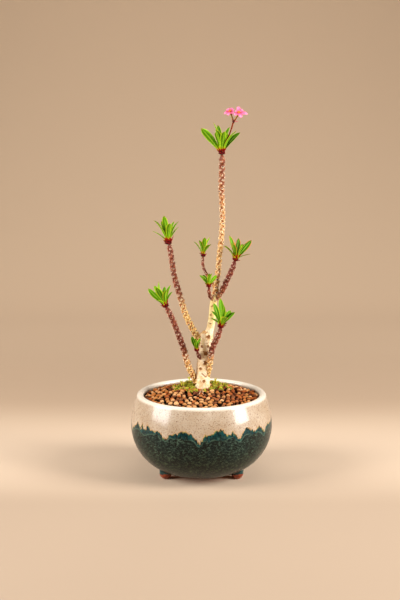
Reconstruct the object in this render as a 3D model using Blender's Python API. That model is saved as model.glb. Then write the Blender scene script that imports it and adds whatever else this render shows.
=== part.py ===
"""Potted euphorbia: a slender young plant with eight leaf rosettes and a forked flower stalk,
standing in a footed stoneware bowl that is filled with potting mix and dressed with clay grains.

Metres, +Z up. The origin lies on the table, on the bowl's axis. The plant's front faces -Y, and
its left is at -X. Places along the stems are given in millimetres and turned into metres by mm().
"""

import math
import random

import bmesh
import bpy
from mathutils import Matrix, Vector, geometry, noise

# The bowl
BOWL_RADIUS = 0.060
BOWL_STEPS = 40
BELLY_HEIGHT = 0.043
BASE_HEIGHT = 0.0028
BASE_RADIUS = 0.022
BASE_CORNER = 0.0006
LIP_TURNS = (40, 70, 110, 140)
LOWER_ROUNDNESS = 1.95
UPPER_ROUNDNESS = 1.76
RIM_HEIGHT = 0.0702
RIM_RADIUS = 0.054
SHOULDER_HEIGHT = 0.0680
WALL = 0.0056
FLOOR_HEIGHT = 0.0095
FLOOR_RADIUS = 0.017
LOWER_RINGS = 7
UPPER_RINGS = 3
DRAIN_RADIUS = 0.006
DRAIN_STEPS = 12

# The three ball feet
FOOT_COUNT = 3
FOOT_CIRCLE = 0.0349
FOOT_RADIUS = 0.0052
FOOT_BALL_HEIGHT = 0.0047
FOOT_NECK_TOP = 0.0105
FOOT_STEPS = 12
FOOT_RINGS = (0, 0.25, 0.5, 0.75, 1)
FOOT_FIRST_ANGLE = math.radians(90)

# The plastic mesh over the drain hole
MESH_SIDE = 0.020
MESH_OPENINGS = 3
MESH_BAR = 0.0014
MESH_THICKNESS = 0.0010

# The fill
GAP = 0.0003
MIX_TOP = 0.0610
MESH_POCKET_RADIUS = 0.0150
MIX_STEPS = 20
TRUNK_HOLE_SLACK = 0.0006
TRUNK_HOLE_TOP = 0.085
EDGE_HEIGHT = 0.0650
MOUND_RISE = 0.0078
GRAIN_COUNT = 150
GRAIN_SEED = 11
GRAIN_JITTER = 0.0011
GRAIN_RISE = 0.0011
GRAIN_SPREAD = 0.0006
GROOVE_DEPTH = 0.0011
GRAIN_TILT = 0.14
GRAIN_SHOULDER = 0.64
SHOULDER_RISE = 0.72
GRAIN_FIELD_RADIUS = 0.0462

# Stems: each route point is (x, y, z, radius) in millimetres
TRUNK_SIDES = 12
TRUNK_RING_PITCH = 0.0048
TRUNK_WOBBLE = 0.07
BARK_FREQUENCY = 220.0
FINE_STEPS = 12
STEM_SIDES = 8
TUBERCLE_PITCH = 0.0028
TUBERCLE_HEIGHT = 0.00085
SLIM_TUBERCLE_HEIGHT = 0.00045
SLIM_SHOOT = 1.5
TUBERCLE_VALLEY = 0.3
END_ROUNDING = 0.5
TRUNK = [
    (1.0, 0.0, 38.0, 3.0), (1.0, 0.0, 50.0, 5.0), (1.0, 0.0, 63.0, 6.1), (1.0, 0.0, 72.0, 6.4),
    (1.1, 0.0, 79.0, 6.0), (1.3, 0.2, 86.0, 5.6), (1.4, 0.5, 98.0, 5.2), (3.2, 0.8, 110.5, 4.8),
    (5.6, 1.0, 119.0, 4.1), (7.5, 1.2, 126.0, 3.2), (8.8, 1.5, 134.5, 2.9), (9.8, 1.8, 145.5, 2.8),
    (11.3, 2.0, 153.5, 2.7),
]
CUT_STUB = [(3.0, -0.5, 107.0, 3.6), (2.4, -1.2, 114.0, 3.1), (2.0, -2.0, 122.5, 2.8)]
MAIN_STEM = [
    (10.0, 1.9, 147.0, 2.2), (11.9, 1.8, 159.0, 2.1), (13.0, 1.7, 168.0, 2.0), (14.2, 1.5, 177.0, 2.0),
    (14.9, 1.4, 186.5, 1.9), (15.9, 1.2, 195.5, 1.9), (16.7, 1.0, 204.5, 1.9), (17.2, 0.9, 213.5, 1.9),
    (17.4, 0.8, 222.5, 1.9), (17.0, 0.6, 231.5, 1.9), (16.5, 0.5, 243.0, 2.0), (16.8, 0.3, 257.0, 2.1),
    (17.0, 0.1, 266.0, 2.1), (16.8, 0.0, 270.8, 1.8),
]
LONG_LEFT = [
    (2.5, 1.0, 110.0, 3.0), (-2.0, 1.4, 116.0, 2.7), (-7.6, 2.7, 125.0, 2.4), (-11.4, 3.5, 132.5, 2.3),
    (-14.4, 4.4, 140.0, 2.2), (-18.9, 6.1, 155.0, 2.1), (-22.7, 7.8, 168.0, 2.0), (-24.9, 9.5, 181.5, 2.0),
    (-26.2, 10.8, 190.5, 2.0), (-27.2, 11.6, 194.8, 1.8),
]
LOW_LEFT = [
    (0.5, 1.0, 75.0, 3.2), (-3.2, 0.8, 79.0, 2.9), (-6.0, 0.2, 83.0, 2.6), (-9.0, -1.5, 89.0, 2.4),
    (-12.0, -3.3, 97.0, 2.3), (-14.1, -4.7, 105.5, 2.2), (-16.1, -6.0, 113.0, 2.2), (-18.9, -7.3, 121.0, 2.1),
    (-21.6, -8.7, 128.5, 2.0), (-25.6, -11.3, 139.0, 1.9), (-28.7, -13.0, 145.7, 1.7),
]
LOW_RIGHT = [
    (3.4, -1.0, 82.0, 3.2), (5.6, -3.0, 87.5, 2.7), (7.2, -5.0, 97.0, 2.4), (8.0, -6.5, 104.5, 2.2),
    (9.6, -8.0, 112.0, 2.1), (12.4, -9.5, 118.0, 2.0), (14.4, -11.5, 123.5, 1.9), (15.5, -13.4, 128.4, 1.7),
]
UPPER_RIGHT = [
    (10.5, 1.9, 149.0, 2.3), (14.9, 0.6, 154.5, 2.1), (17.9, -0.9, 159.5, 2.1), (20.8, -2.3, 166.0, 2.0),
    (23.0, -3.7, 171.0, 1.9), (25.2, -5.1, 176.5, 1.9), (26.8, -6.5, 180.5, 1.8), (27.6, -7.4, 183.8, 1.6),
]
UPPER_BACK = [
    (11.5, 2.0, 160.5, 1.5), (6.5, 3.7, 168.0, 1.2), (3.1, 7.1, 173.0, 1.1), (1.1, 10.2, 178.5, 1.1),
    (1.4, 13.4, 184.5, 1.1),
]
UPPER_FRONT = [
    (9.9, 1.6, 149.5, 1.6), (7.2, -1.3, 153.5, 1.4), (6.3, -4.0, 158.0, 1.3), (6.1, -5.7, 161.6, 1.2),
]
TRUNK_SHOOT = [(0.5, -1.5, 99.5, 1.6), (-2.3, -4.5, 103.0, 1.4), (-3.5, -7.2, 107.6, 1.2)]

# Leaf scars that stand off the trunk: (x, z, radius) in millimetres, on its front
SCARS = [
    (2.4, 122.0, 1.2), (5.6, 119.5, 1.3), (0.4, 119.0, 1.1), (5.4, 111.5, 1.3), (0.1, 110.8, 1.2),
    (3.4, 108.0, 1.3), (3.4, 97.5, 1.5), (2.1, 81.5, 1.2), (-0.8, 92.0, 1.1),
]
BACK_SCARS = [(1.0, 90.0, 1.4), (3.0, 103.0, 1.4), (-0.5, 80.0, 1.3), (6.2, 121.5, 1.2), (9.0, 136.0, 1.1)]
SCAR_SINK = 0.35

# Rosettes: leaves are (bearing in degrees from +X, lean from upright in degrees, length, width in mm)
LEAF_EDGE = 0.0007
LEAF_RIB = 0.0010
LEAF_FOLD = math.radians(24)
LEAF_BOW = 0.045
LEAF_STATIONS = [(0.0, 0.24), (0.25, 0.58), (0.58, 1.0), (0.85, 0.68), (1.0, 0.10)]
NARROW_LEAF = 4.3
NARROW_STATIONS = [(0.0, 0.30), (0.32, 0.78), (0.70, 1.0), (1.0, 0.16)]
HEART_RADIUS = 1.6
HEART_HEIGHT = 2.2
COLLAR_LOWER_RADIUS = 1.7
COLLAR_HEIGHT = 2.0
COLLAR_SIDES = 6
LEAF_ROOT = 1.2
FULL_SHOOT = 1.8
SMALLEST_ROSETTE = 0.7
LEAF_STALK_LENGTH = 2.6
LEAF_STALK_RADIUS = 0.75
LEAF_STALK_TIP = 0.5
LEAF_STALK_RISE = math.radians(20)
LEAF_STALK_HEIGHT = 0.8
LEAF_STALK_OFFSET = 0.5
ROSETTES = {
    "top": [
        (193, 44, 25, 5.5), (205, 17, 23.5, 5.0), (110, 23, 22, 3.8), (250, 36, 22, 5.0),
        (277, 43, 22, 4.8), (54, 29, 21.5, 4.4), (319, 41, 22, 4.6), (12, 46, 21, 4.4),
        (108, 47, 21, 4.8), (70, 50, 20, 4.6)],
    "long_left": [
        (200, 33, 21, 5.2), (126, 33, 18, 3.4), (237, 16, 22, 5.2), (277, 37, 20, 4.6),
        (23, 18, 16.5, 3.6), (36, 33, 18.5, 4.4), (56, 58, 18.5, 2.2), (155, 63, 16, 2.4),
        (86, 44, 18, 4.4), (112, 56, 17, 4.2)],
    "low_left": [
        (168, 50, 18.5, 4.5), (135, 43, 18.5, 3.6), (236, 38, 19.5, 4.8), (215, 20, 20, 4.8),
        (276, 44, 20, 4.8), (326, 18, 16.5, 4.0), (58, 52, 14, 2.2), (247, 72, 17, 2.8),
        (92, 44, 17, 4.2), (112, 60, 15, 3.8)],
    "low_right": [
        (94, 16, 21.5, 4.4), (171, 20, 18.5, 4.4), (226, 42, 16.5, 3.6), (284, 26, 21, 4.6),
        (27, 39, 14, 3.8), (331, 48, 16.5, 3.8), (284, 59, 18, 4.8), (140, 72, 11.5, 2.4),
        (62, 52, 14, 3.8)],
    "upper_right": [
        (223, 51, 17, 3.2), (159, 18, 18.5, 3.8), (256, 43, 18, 4.2), (71, 26, 16.5, 4.0),
        (323, 39, 16, 3.2), (13, 44, 19, 4.2), (333, 76, 13.5, 2.2), (102, 46, 16.5, 4.0),
        (62, 54, 16, 3.8)],
    "upper_back": [
        (142, 45, 13.5, 2.8), (242, 30, 14, 3.2), (293, 13, 14.5, 3.8), (43, 29, 15, 3.6),
        (303, 49, 14.5, 3.6), (92, 42, 13, 3.4)],
    "upper_front": [
        (209, 45, 11.5, 2.8), (127, 47, 10.5, 2.6), (284, 38, 13.5, 3.8), (24, 46, 10, 2.6),
        (85, 36, 10, 2.6)],
    "trunk_shoot": [
        (209, 22, 11.5, 3.4), (304, 33, 11, 3.4), (269, 46, 12.5, 3.6), (110, 22, 8.5, 2.6)],
}
ROUTE_OF = {
    "top": MAIN_STEM, "long_left": LONG_LEFT, "low_left": LOW_LEFT, "low_right": LOW_RIGHT,
    "upper_right": UPPER_RIGHT, "upper_back": UPPER_BACK, "upper_front": UPPER_FRONT,
    "trunk_shoot": TRUNK_SHOOT,
}

# The flower stalk and its two blooms
STALK_SIDES = 6
STALK_PITCH = 0.0030
STALK = [
    (19.0, -0.1, 280.8, 0.45), (19.7, 0.0, 282.3, 0.55), (22.0, 0.0, 286.0, 0.6), (24.4, 0.0, 292.5, 0.65),
    (26.2, -0.5, 298.7, 0.7),
]
LEFT_PEDICEL = [(26.2, -0.5, 298.3, 0.6), (25.2, 0.6, 301.5, 0.55), (24.0, 2.8, 305.2, 0.6)]
RIGHT_PEDICEL = [(26.2, -0.5, 298.3, 0.6), (28.0, -0.6, 301.0, 0.55), (30.3, -0.9, 304.6, 0.6)]
FORK_RADIUS = 0.0010
BRACT_LENGTH = 0.0022
BRACT_WIDTH = 0.0014
BRACT_BEARING = 350
BRACT_LEAN = 92
# A bloom is its pedicel, the way it faces and its petals: (bearing in its plane in degrees, length in mm)
BLOOMS = {
    "left": (LEFT_PEDICEL, (-0.28, -0.58, 0.76), [
        (212, 5.0), (271, 5.0), (332, 4.4), (28, 3.6), (88, 4.4), (145, 4.0)]),
    "right": (RIGHT_PEDICEL, (0.02, -0.74, 0.67), [
        (347, 7.0), (287, 5.6), (212, 4.2), (93, 5.6), (45, 4.4), (158, 2.8)]),
}
PETAL_WIDTH = 0.0040
PETAL_THICKNESS = 0.0007
PETAL_STATIONS = [(0.0, 0.34), (0.36, 0.80), (0.72, 1.0), (1.0, 0.42)]
PETAL_LIFT = math.radians(8)
PETAL_FOLD = math.radians(10)
PETAL_BOW = 0.06
CUP_RADIUS = 0.0011
CUP_BASE_RADIUS = 0.0008
CUP_HEIGHT = 0.0009
CUP_SIDES = 6
CUP_LIFT = 0.0007
EYE_RADIUS = 0.0012
EYE_LIFT = 0.0007

# Colours are linear; the second value is the roughness
FINISHES = {
    "bowl_glaze": ((0.42, 0.33, 0.24), 0.15),
    "drain_plastic": ((0.02, 0.02, 0.02), 0.6),
    "potting_mix": ((0.06, 0.04, 0.03), 0.95),
    "fired_clay": ((0.42, 0.20, 0.10), 0.85),
    "bark": ((0.58, 0.42, 0.27), 0.7),
    "leaf": ((0.12, 0.30, 0.03), 0.45),
    "leaf_foot": ((0.25, 0.01, 0.01), 0.5),
    "flower_stalk": ((0.30, 0.09, 0.03), 0.5),
    "petal": ((0.80, 0.22, 0.36), 0.5),
    "flower_eye": ((0.75, 0.24, 0.02), 0.5),
}


def mm(x, y, z):
    """A place given in millimetres, in metres."""
    return Vector((x, y, z)) * 0.001


def clear_scene():
    for obj in list(bpy.data.objects):
        bpy.data.objects.remove(obj, do_unlink=True)


def make_material(name, colour, roughness):
    """A plain finish. Nothing on the object is metal."""
    material = bpy.data.materials.new(name)
    material.use_nodes = True
    shader = material.node_tree.nodes["Principled BSDF"]
    shader.inputs["Base Color"].default_value = (*colour, 1.0)
    shader.inputs["Roughness"].default_value = roughness
    shader.inputs["Metallic"].default_value = 0.0
    return material


def object_from(name, mesh_builder, material=None):
    """Turns a bmesh into a linked object with outward faces."""
    bmesh.ops.recalc_face_normals(mesh_builder, faces=mesh_builder.faces)
    mesh = bpy.data.meshes.new(name)
    mesh_builder.to_mesh(mesh)
    mesh_builder.free()
    obj = bpy.data.objects.new(name, mesh)
    bpy.context.scene.collection.objects.link(obj)
    if material is not None:
        mesh.materials.append(material)
    return obj


def apply_modifiers(obj):
    bpy.context.view_layer.update()
    graph = bpy.context.evaluated_depsgraph_get()
    mesh = bpy.data.meshes.new_from_object(obj.evaluated_get(graph))
    obj.modifiers.clear()
    obj.data = mesh


def union(name, pieces, material, solver="EXACT"):
    """Fuses overlapping closed pieces into one solid, and removes the pieces."""
    group = bpy.data.collections.new(name + "_pieces")
    bpy.context.scene.collection.children.link(group)
    body, others = pieces[0], pieces[1:]
    for piece in others:
        bpy.context.scene.collection.objects.unlink(piece)
        group.objects.link(piece)
    if others:
        fuse = body.modifiers.new("Fuse", "BOOLEAN")
        fuse.operation = "UNION"
        fuse.operand_type = "COLLECTION"
        fuse.collection = group
        fuse.solver = solver
        apply_modifiers(body)
    for piece in others:
        bpy.data.objects.remove(piece, do_unlink=True)
    bpy.data.collections.remove(group)
    body.name = name
    body.data.name = name
    body.data.materials.clear()
    body.data.materials.append(material)
    return body


def cut(obj, cutter):
    """Takes the cutter's space out of the solid, and removes the cutter."""
    cutter.hide_render = True
    cutter.display_type = "WIRE"
    modifier = obj.modifiers.new("Cut", "BOOLEAN")
    modifier.operation = "DIFFERENCE"
    modifier.object = cutter
    modifier.solver = "EXACT"
    apply_modifiers(obj)
    bpy.data.objects.remove(cutter, do_unlink=True)


def shade(obj, sharp_angle=40):
    obj.data.shade_smooth()
    obj.data.set_sharp_from_angle(angle=math.radians(sharp_angle))


def turned(name, outline, material=None, steps=BOWL_STEPS):
    """Spins an outline of (radius, height) points, which starts and ends on the axis."""
    builder = bmesh.new()
    corners = [builder.verts.new((radius, 0.0, height)) for radius, height in outline]
    edges = [builder.edges.new(pair) for pair in zip(corners, corners[1:])]
    bmesh.ops.spin(
        builder, geom=corners + edges, cent=(0, 0, 0), axis=(0, 0, 1), angle=2 * math.pi, steps=steps,
        use_merge=True)
    bmesh.ops.remove_doubles(builder, verts=builder.verts, dist=1e-6)
    return object_from(name, builder, material)


def ball(centre, radius, stretch=(1, 1, 1)):
    """A coarse ball, which can be stretched or flattened."""
    builder = bmesh.new()
    bmesh.ops.create_icosphere(builder, subdivisions=1, radius=radius)
    bmesh.ops.scale(builder, vec=stretch, verts=builder.verts)
    obj = object_from("ball", builder)
    obj.location = centre
    return obj


def lower_outline(base_radius, base_height, belly_radius, rings):
    """The round lower side of the bowl, from its base to its belly, as (radius, height) points."""
    rise = BELLY_HEIGHT - base_height
    points = []
    for ring in range(rings + 1):
        angle = math.radians(90) * ring / rings
        out = math.sin(angle) ** (2 / LOWER_ROUNDNESS)
        down = math.cos(angle) ** (2 / LOWER_ROUNDNESS)
        points.append((base_radius + (belly_radius - base_radius) * out, BELLY_HEIGHT - rise * down))
    return points


def upper_radius(height, belly_radius, rim_radius):
    part = (height - BELLY_HEIGHT) / (RIM_HEIGHT - BELLY_HEIGHT)
    return belly_radius - (belly_radius - rim_radius) * part ** UPPER_ROUNDNESS


def upper_outline(belly_radius, rim_radius, top, rings):
    """The in-curving upper side of the bowl, above its belly."""
    step = (top - BELLY_HEIGHT) / rings
    heights = [BELLY_HEIGHT + step * (ring + 1) for ring in range(rings)]
    return [(upper_radius(height, belly_radius, rim_radius), height) for height in heights]


def inside_radius(height):
    """The bowl's inner radius above the belly."""
    return upper_radius(height, BOWL_RADIUS - WALL, RIM_RADIUS - WALL)


def make_bowl(material):
    outer = lower_outline(BASE_RADIUS, BASE_HEIGHT, BOWL_RADIUS, LOWER_RINGS)
    outer += upper_outline(BOWL_RADIUS, RIM_RADIUS, SHOULDER_HEIGHT, UPPER_RINGS)
    inner = lower_outline(FLOOR_RADIUS, FLOOR_HEIGHT, BOWL_RADIUS - WALL, LOWER_RINGS)
    inner += upper_outline(BOWL_RADIUS - WALL, RIM_RADIUS - WALL, SHOULDER_HEIGHT, UPPER_RINGS)
    lip_middle = (outer[-1][0] + inner[-1][0]) / 2
    lip_half = (outer[-1][0] - inner[-1][0]) / 2
    lip_rise = RIM_HEIGHT - SHOULDER_HEIGHT
    lip = []
    for turn in (math.radians(angle) for angle in LIP_TURNS):
        lip.append((lip_middle + lip_half * math.cos(turn), SHOULDER_HEIGHT + lip_rise * math.sin(turn)))
    corner = [(BASE_RADIUS - BASE_CORNER, BASE_HEIGHT), (BASE_RADIUS, BASE_HEIGHT + BASE_CORNER / 2)]
    outline = [(0, BASE_HEIGHT)] + corner + outer[1:] + lip + inner[::-1] + [(0, FLOOR_HEIGHT)]
    bowl = turned("bowl_body", outline)

    pieces = [bowl]
    for number in range(FOOT_COUNT):
        angle = FOOT_FIRST_ANGLE + number * 2 * math.pi / FOOT_COUNT
        foot = make_foot()
        foot.location = Vector((math.cos(angle), math.sin(angle), 0)) * FOOT_CIRCLE
        pieces.append(foot)
    bowl = union("footed_bowl", pieces, material)
    drain = bmesh.new()
    bmesh.ops.create_cone(
        drain, cap_ends=True, segments=DRAIN_STEPS, radius1=DRAIN_RADIUS, radius2=DRAIN_RADIUS,
        depth=4 * FLOOR_HEIGHT)
    cut(bowl, object_from("drain_cutter", drain))
    shade(bowl)
    return bowl


def make_foot():
    """A ball with a flat spot to stand on, and a neck that runs up into the bowl."""
    flat = math.acos(FOOT_BALL_HEIGHT / FOOT_RADIUS)
    outline = [(0, 0)]
    for share in FOOT_RINGS:
        angle = flat + (math.radians(90) - flat) * share
        outline.append((FOOT_RADIUS * math.sin(angle), FOOT_BALL_HEIGHT - FOOT_RADIUS * math.cos(angle)))
    outline += [(FOOT_RADIUS, FOOT_NECK_TOP), (0, FOOT_NECK_TOP)]
    return turned("foot", outline, steps=FOOT_STEPS)


def make_drain_mesh(material):
    """A square plastic net: a sheet of bars round square openings."""
    pitch = (MESH_SIDE - MESH_BAR) / MESH_OPENINGS
    lines = []
    for opening in range(MESH_OPENINGS + 1):
        start = -MESH_SIDE / 2 + opening * pitch
        lines += [start, start + MESH_BAR]
    bottom = FLOOR_HEIGHT + GAP
    builder = bmesh.new()
    grid = [[builder.verts.new((x, y, bottom)) for y in lines] for x in lines]
    faces = []
    for column in range(len(lines) - 1):
        for row in range(len(lines) - 1):
            if column % 2 and row % 2:
                continue
            left, right = grid[column], grid[column + 1]
            faces.append(builder.faces.new((left[row], right[row], right[row + 1], left[row + 1])))
    raised = bmesh.ops.extrude_face_region(builder, geom=faces, use_keep_orig=True)["geom"]
    for element in raised:
        if isinstance(element, bmesh.types.BMVert):
            element.co.z += MESH_THICKNESS
    return object_from("drain_mesh", builder, material)


def make_potting_mix(material):
    """Fills the bowl up to the grains, with a pocket for the drain mesh and a plain hole for the trunk."""
    inner = lower_outline(FLOOR_RADIUS, FLOOR_HEIGHT, BOWL_RADIUS - WALL, LOWER_RINGS)
    inner += upper_outline(BOWL_RADIUS - WALL, RIM_RADIUS - WALL, SHOULDER_HEIGHT, UPPER_RINGS)
    side = [(radius - GAP, height + GAP / 2) for radius, height in inner[1:] if height < MIX_TOP - WALL / 2]
    pocket = FLOOR_HEIGHT + MESH_THICKNESS + 2 * GAP
    outline = [(0, pocket), (MESH_POCKET_RADIUS, pocket), (MESH_POCKET_RADIUS, FLOOR_HEIGHT + GAP),
               (FLOOR_RADIUS, FLOOR_HEIGHT + GAP)]
    outline += side + [(inside_radius(MIX_TOP) - 1.5 * GAP, MIX_TOP), (0, MIX_TOP)]
    mix = turned("potting_mix", outline, material, steps=MIX_STEPS)
    cut(mix, trunk_cutter())
    shade(mix)
    return mix


def mound_height(x, y):
    """The dressing lies highest round the trunk and falls to the wall."""
    part = (x * x + y * y) / inside_radius(EDGE_HEIGHT) ** 2
    return EDGE_HEIGHT + MOUND_RISE * (1 - part)


def grain_centres():
    """Grains spread evenly over the mound, on a spiral that is then stirred by a seeded draw."""
    draw = random.Random(GRAIN_SEED)
    golden = math.pi * (3 - math.sqrt(5))
    centres = []
    for grain in range(GRAIN_COUNT):
        radius = GRAIN_FIELD_RADIUS * math.sqrt((grain + 0.5) / GRAIN_COUNT)
        if radius < GRAIN_FIELD_RADIUS - 2 * GRAIN_JITTER:
            radius += draw.uniform(-GRAIN_JITTER, GRAIN_JITTER)
        angle = grain * golden + draw.uniform(-GRAIN_JITTER, GRAIN_JITTER) / max(radius, 4 * GRAIN_JITTER)
        centres.append(Vector((radius * math.cos(angle), radius * math.sin(angle))))
    return centres


def make_grain_layer(material):
    """The dressing: a mound whose top rises into one pebble for each grain, with a groove round each."""
    draw = random.Random(GRAIN_SEED + 1)
    wall = [circle_point(inside_radius(EDGE_HEIGHT) - 1.5 * GAP, step) for step in range(BOWL_STEPS)]
    points, _, triangles, _, _, _ = geometry.delaunay_2d_cdt(wall + grain_centres(), [], [], 0, 1e-9)
    builder = bmesh.new()
    grooves = []
    for triangle in triangles:
        middle = sum((points[corner] for corner in triangle), Vector((0, 0))) / 3
        grooves.append(builder.verts.new((*middle, mound_height(*middle) - GROOVE_DEPTH)))
    top_edge = [builder.verts.new((*point, EDGE_HEIGHT)) for point in wall]
    for index, centre in enumerate(points):
        ring = [grooves[number] for number, triangle in enumerate(triangles) if index in triangle]
        inward = -centre
        ring.sort(key=lambda groove: inward.angle_signed(groove.co.xy - centre))
        if index < BOWL_STEPS:
            for first, second in zip(ring, ring[1:]):
                builder.faces.new((top_edge[index], first, second))
        else:
            add_grain(builder, centre, ring, draw)
    for number, triangle in enumerate(triangles):
        on_wall = sorted(corner for corner in triangle if corner < BOWL_STEPS)
        if len(on_wall) == 2:
            builder.faces.new((top_edge[on_wall[0]], top_edge[on_wall[1]], grooves[number]))
    bottom = MIX_TOP + GAP
    bottom_edge = []
    for step in range(BOWL_STEPS):
        place = circle_point(inside_radius(bottom) - 1.5 * GAP, step)
        bottom_edge.append(builder.verts.new((*place, bottom)))
    for step in range(BOWL_STEPS):
        following = (step + 1) % BOWL_STEPS
        builder.faces.new((top_edge[step], top_edge[following], bottom_edge[following], bottom_edge[step]))
    builder.faces.new(bottom_edge)
    layer = object_from("grain_layer", builder, material)
    cut(layer, trunk_cutter())
    return layer


def circle_point(radius, step):
    angle = 2 * math.pi * step / BOWL_STEPS
    return Vector((radius * math.cos(angle), radius * math.sin(angle)))


def add_grain(builder, centre, ring, draw):
    """One pebble inside its groove: a raised middle, a shoulder ring and sides down to the groove."""
    rise = GRAIN_RISE + draw.uniform(-GRAIN_SPREAD, GRAIN_SPREAD)
    tilt = Vector((draw.uniform(-GRAIN_TILT, GRAIN_TILT), draw.uniform(-GRAIN_TILT, GRAIN_TILT)))
    top = builder.verts.new((*centre, mound_height(*centre) + rise))
    shoulder = []
    for corner in ring:
        flat = centre + (corner.co.xy - centre) * GRAIN_SHOULDER
        lift = rise * SHOULDER_RISE + tilt.dot(flat - centre)
        shoulder.append(builder.verts.new((*flat, mound_height(*flat) + lift)))
    for step in range(len(ring)):
        following = (step + 1) % len(ring)
        builder.faces.new((top, shoulder[step], shoulder[following]))
        builder.faces.new((shoulder[step], ring[step], ring[following], shoulder[following]))


def smooth_line(route, pitch):
    """Even steps along a smooth curve through the route: a list of (place, radius) in metres."""
    knots = [Vector(point) for point in route]
    knots = [2 * knots[0] - knots[1]] + knots + [2 * knots[-1] - knots[-2]]
    fine = []
    for before, start, end, after in zip(knots, knots[1:], knots[2:], knots[3:]):
        for step in range(FINE_STEPS):
            t = step / FINE_STEPS
            bend = (2 * before - 5 * start + 4 * end - after) * t * t
            twist = (3 * start - before - 3 * end + after) * t * t * t
            fine.append((2 * start + (end - before) * t + bend + twist) / 2)
    fine.append(knots[-2])
    along = [0.0]
    for first, second in zip(fine, fine[1:]):
        along.append(along[-1] + (second.xyz - first.xyz).length)
    count = max(2, round(along[-1] / (1000 * pitch)))
    line = []
    for step in range(count + 1):
        target = along[-1] * step / count
        index = min(sum(1 for reach in along[1:] if reach < target), len(fine) - 2)
        part = (target - along[index]) / (along[index + 1] - along[index])
        point = fine[index].lerp(fine[index + 1], part)
        line.append((point.xyz * 0.001, point.w * 0.001))
    return line


def tube(name, route, sides, pitch, tubercle=0.0, wobble=0.0):
    """A tapering stem along a route. Every second corner of every ring stands out as a tubercle."""
    line = smooth_line(route, pitch)
    tangents = []
    for index in range(len(line)):
        ahead, behind = line[min(index + 1, len(line) - 1)][0], line[max(index - 1, 0)][0]
        tangents.append((ahead - behind).normalized())
    tip, tip_radius = line[-1]
    line.append((tip + tangents[-1] * tip_radius * END_ROUNDING, tip_radius * (1 - END_ROUNDING * 0.8)))
    tangents.append(tangents[-1])

    builder = bmesh.new()
    side = tangents[0].orthogonal().normalized()
    rings = []
    for index, (place, radius) in enumerate(line):
        side = tangents[index - 1].rotation_difference(tangents[index]) @ side if index else side
        across = tangents[index].cross(side)
        ring = []
        for corner in range(sides):
            angle = 2 * math.pi * corner / sides
            out = math.cos(angle) * side + math.sin(angle) * across
            reach = radius * (1 + wobble * noise.noise((place + out * radius) * BARK_FREQUENCY))
            if 0 < index < len(line) - 1:
                reach += tubercle * (1 if (index + corner) % 2 == 0 else -TUBERCLE_VALLEY)
            ring.append(builder.verts.new(place + out * reach))
        rings.append(ring)
    for index, (lower, upper) in enumerate(zip(rings, rings[1:])):
        for corner in range(sides):
            following = (corner + 1) % sides
            a, b, c, d = lower[corner], lower[following], upper[following], upper[corner]
            first_stands_out = (index + corner) % 2 == 0
            for triangle in ((a, b, d), (b, c, d)) if first_stands_out else ((a, b, c), (a, c, d)):
                builder.faces.new(triangle)
    builder.faces.new(rings[0])
    builder.faces.new(rings[-1])
    return object_from(name, builder)


def end_of(route):
    """Where a shoot stops, rounded end included."""
    before, last = Vector(route[-2]), Vector(route[-1])
    onward = (last.xyz - before.xyz).normalized()
    return (last.xyz + onward * last.w * END_ROUNDING) * 0.001


def trunk_cutter():
    """The buried part of the trunk, a little larger all round."""
    slack = 1000 * TRUNK_HOLE_SLACK
    route = [(x, y, z, radius + slack) for x, y, z, radius in TRUNK if z < 1000 * TRUNK_HOLE_TOP]
    x, y, z, radius = route[0]
    route[0] = (x, y, z - slack, radius)
    return tube("trunk_cutter", route, TRUNK_SIDES, TRUNK_RING_PITCH)


def make_stem(material):
    """Trunk, stub, branches, shoots, tubercles and scars, grown as one piece."""
    pieces = [tube("trunk", TRUNK, TRUNK_SIDES, TRUNK_RING_PITCH, wobble=TRUNK_WOBBLE)]
    pieces.append(tube("stub", CUT_STUB, STEM_SIDES, TRUNK_RING_PITCH, wobble=TRUNK_WOBBLE))
    for name, route in ROUTE_OF.items():
        height = TUBERCLE_HEIGHT if route[-2][3] > SLIM_SHOOT else SLIM_TUBERCLE_HEIGHT
        pieces.append(tube(name, route, STEM_SIDES, TUBERCLE_PITCH, tubercle=height))
    for scars, towards in ((SCARS, -1), (BACK_SCARS, 1)):
        for x, z, radius in scars:
            axis_x, axis_y, trunk_radius = trunk_at(z)
            sideways = x - axis_x
            depth = math.sqrt(max(trunk_radius ** 2 - sideways ** 2, 0)) - SCAR_SINK * radius
            pieces.append(ball(mm(x, axis_y + towards * depth, z), radius * 0.001, stretch=(1, 0.8, 0.75)))
    stem = union("stem", pieces, material)
    shade(stem, 50)
    return stem


def trunk_at(z):
    """The trunk's axis and radius at a height, in millimetres."""
    for (x0, y0, z0, r0), (x1, y1, z1, r1) in zip(TRUNK, TRUNK[1:]):
        if z <= z1:
            part = (z - z0) / (z1 - z0)
            return x0 + (x1 - x0) * part, y0 + (y1 - y0) * part, r0 + (r1 - r0) * part
    return TRUNK[-1][0], TRUNK[-1][1], TRUNK[-1][3]


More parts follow.
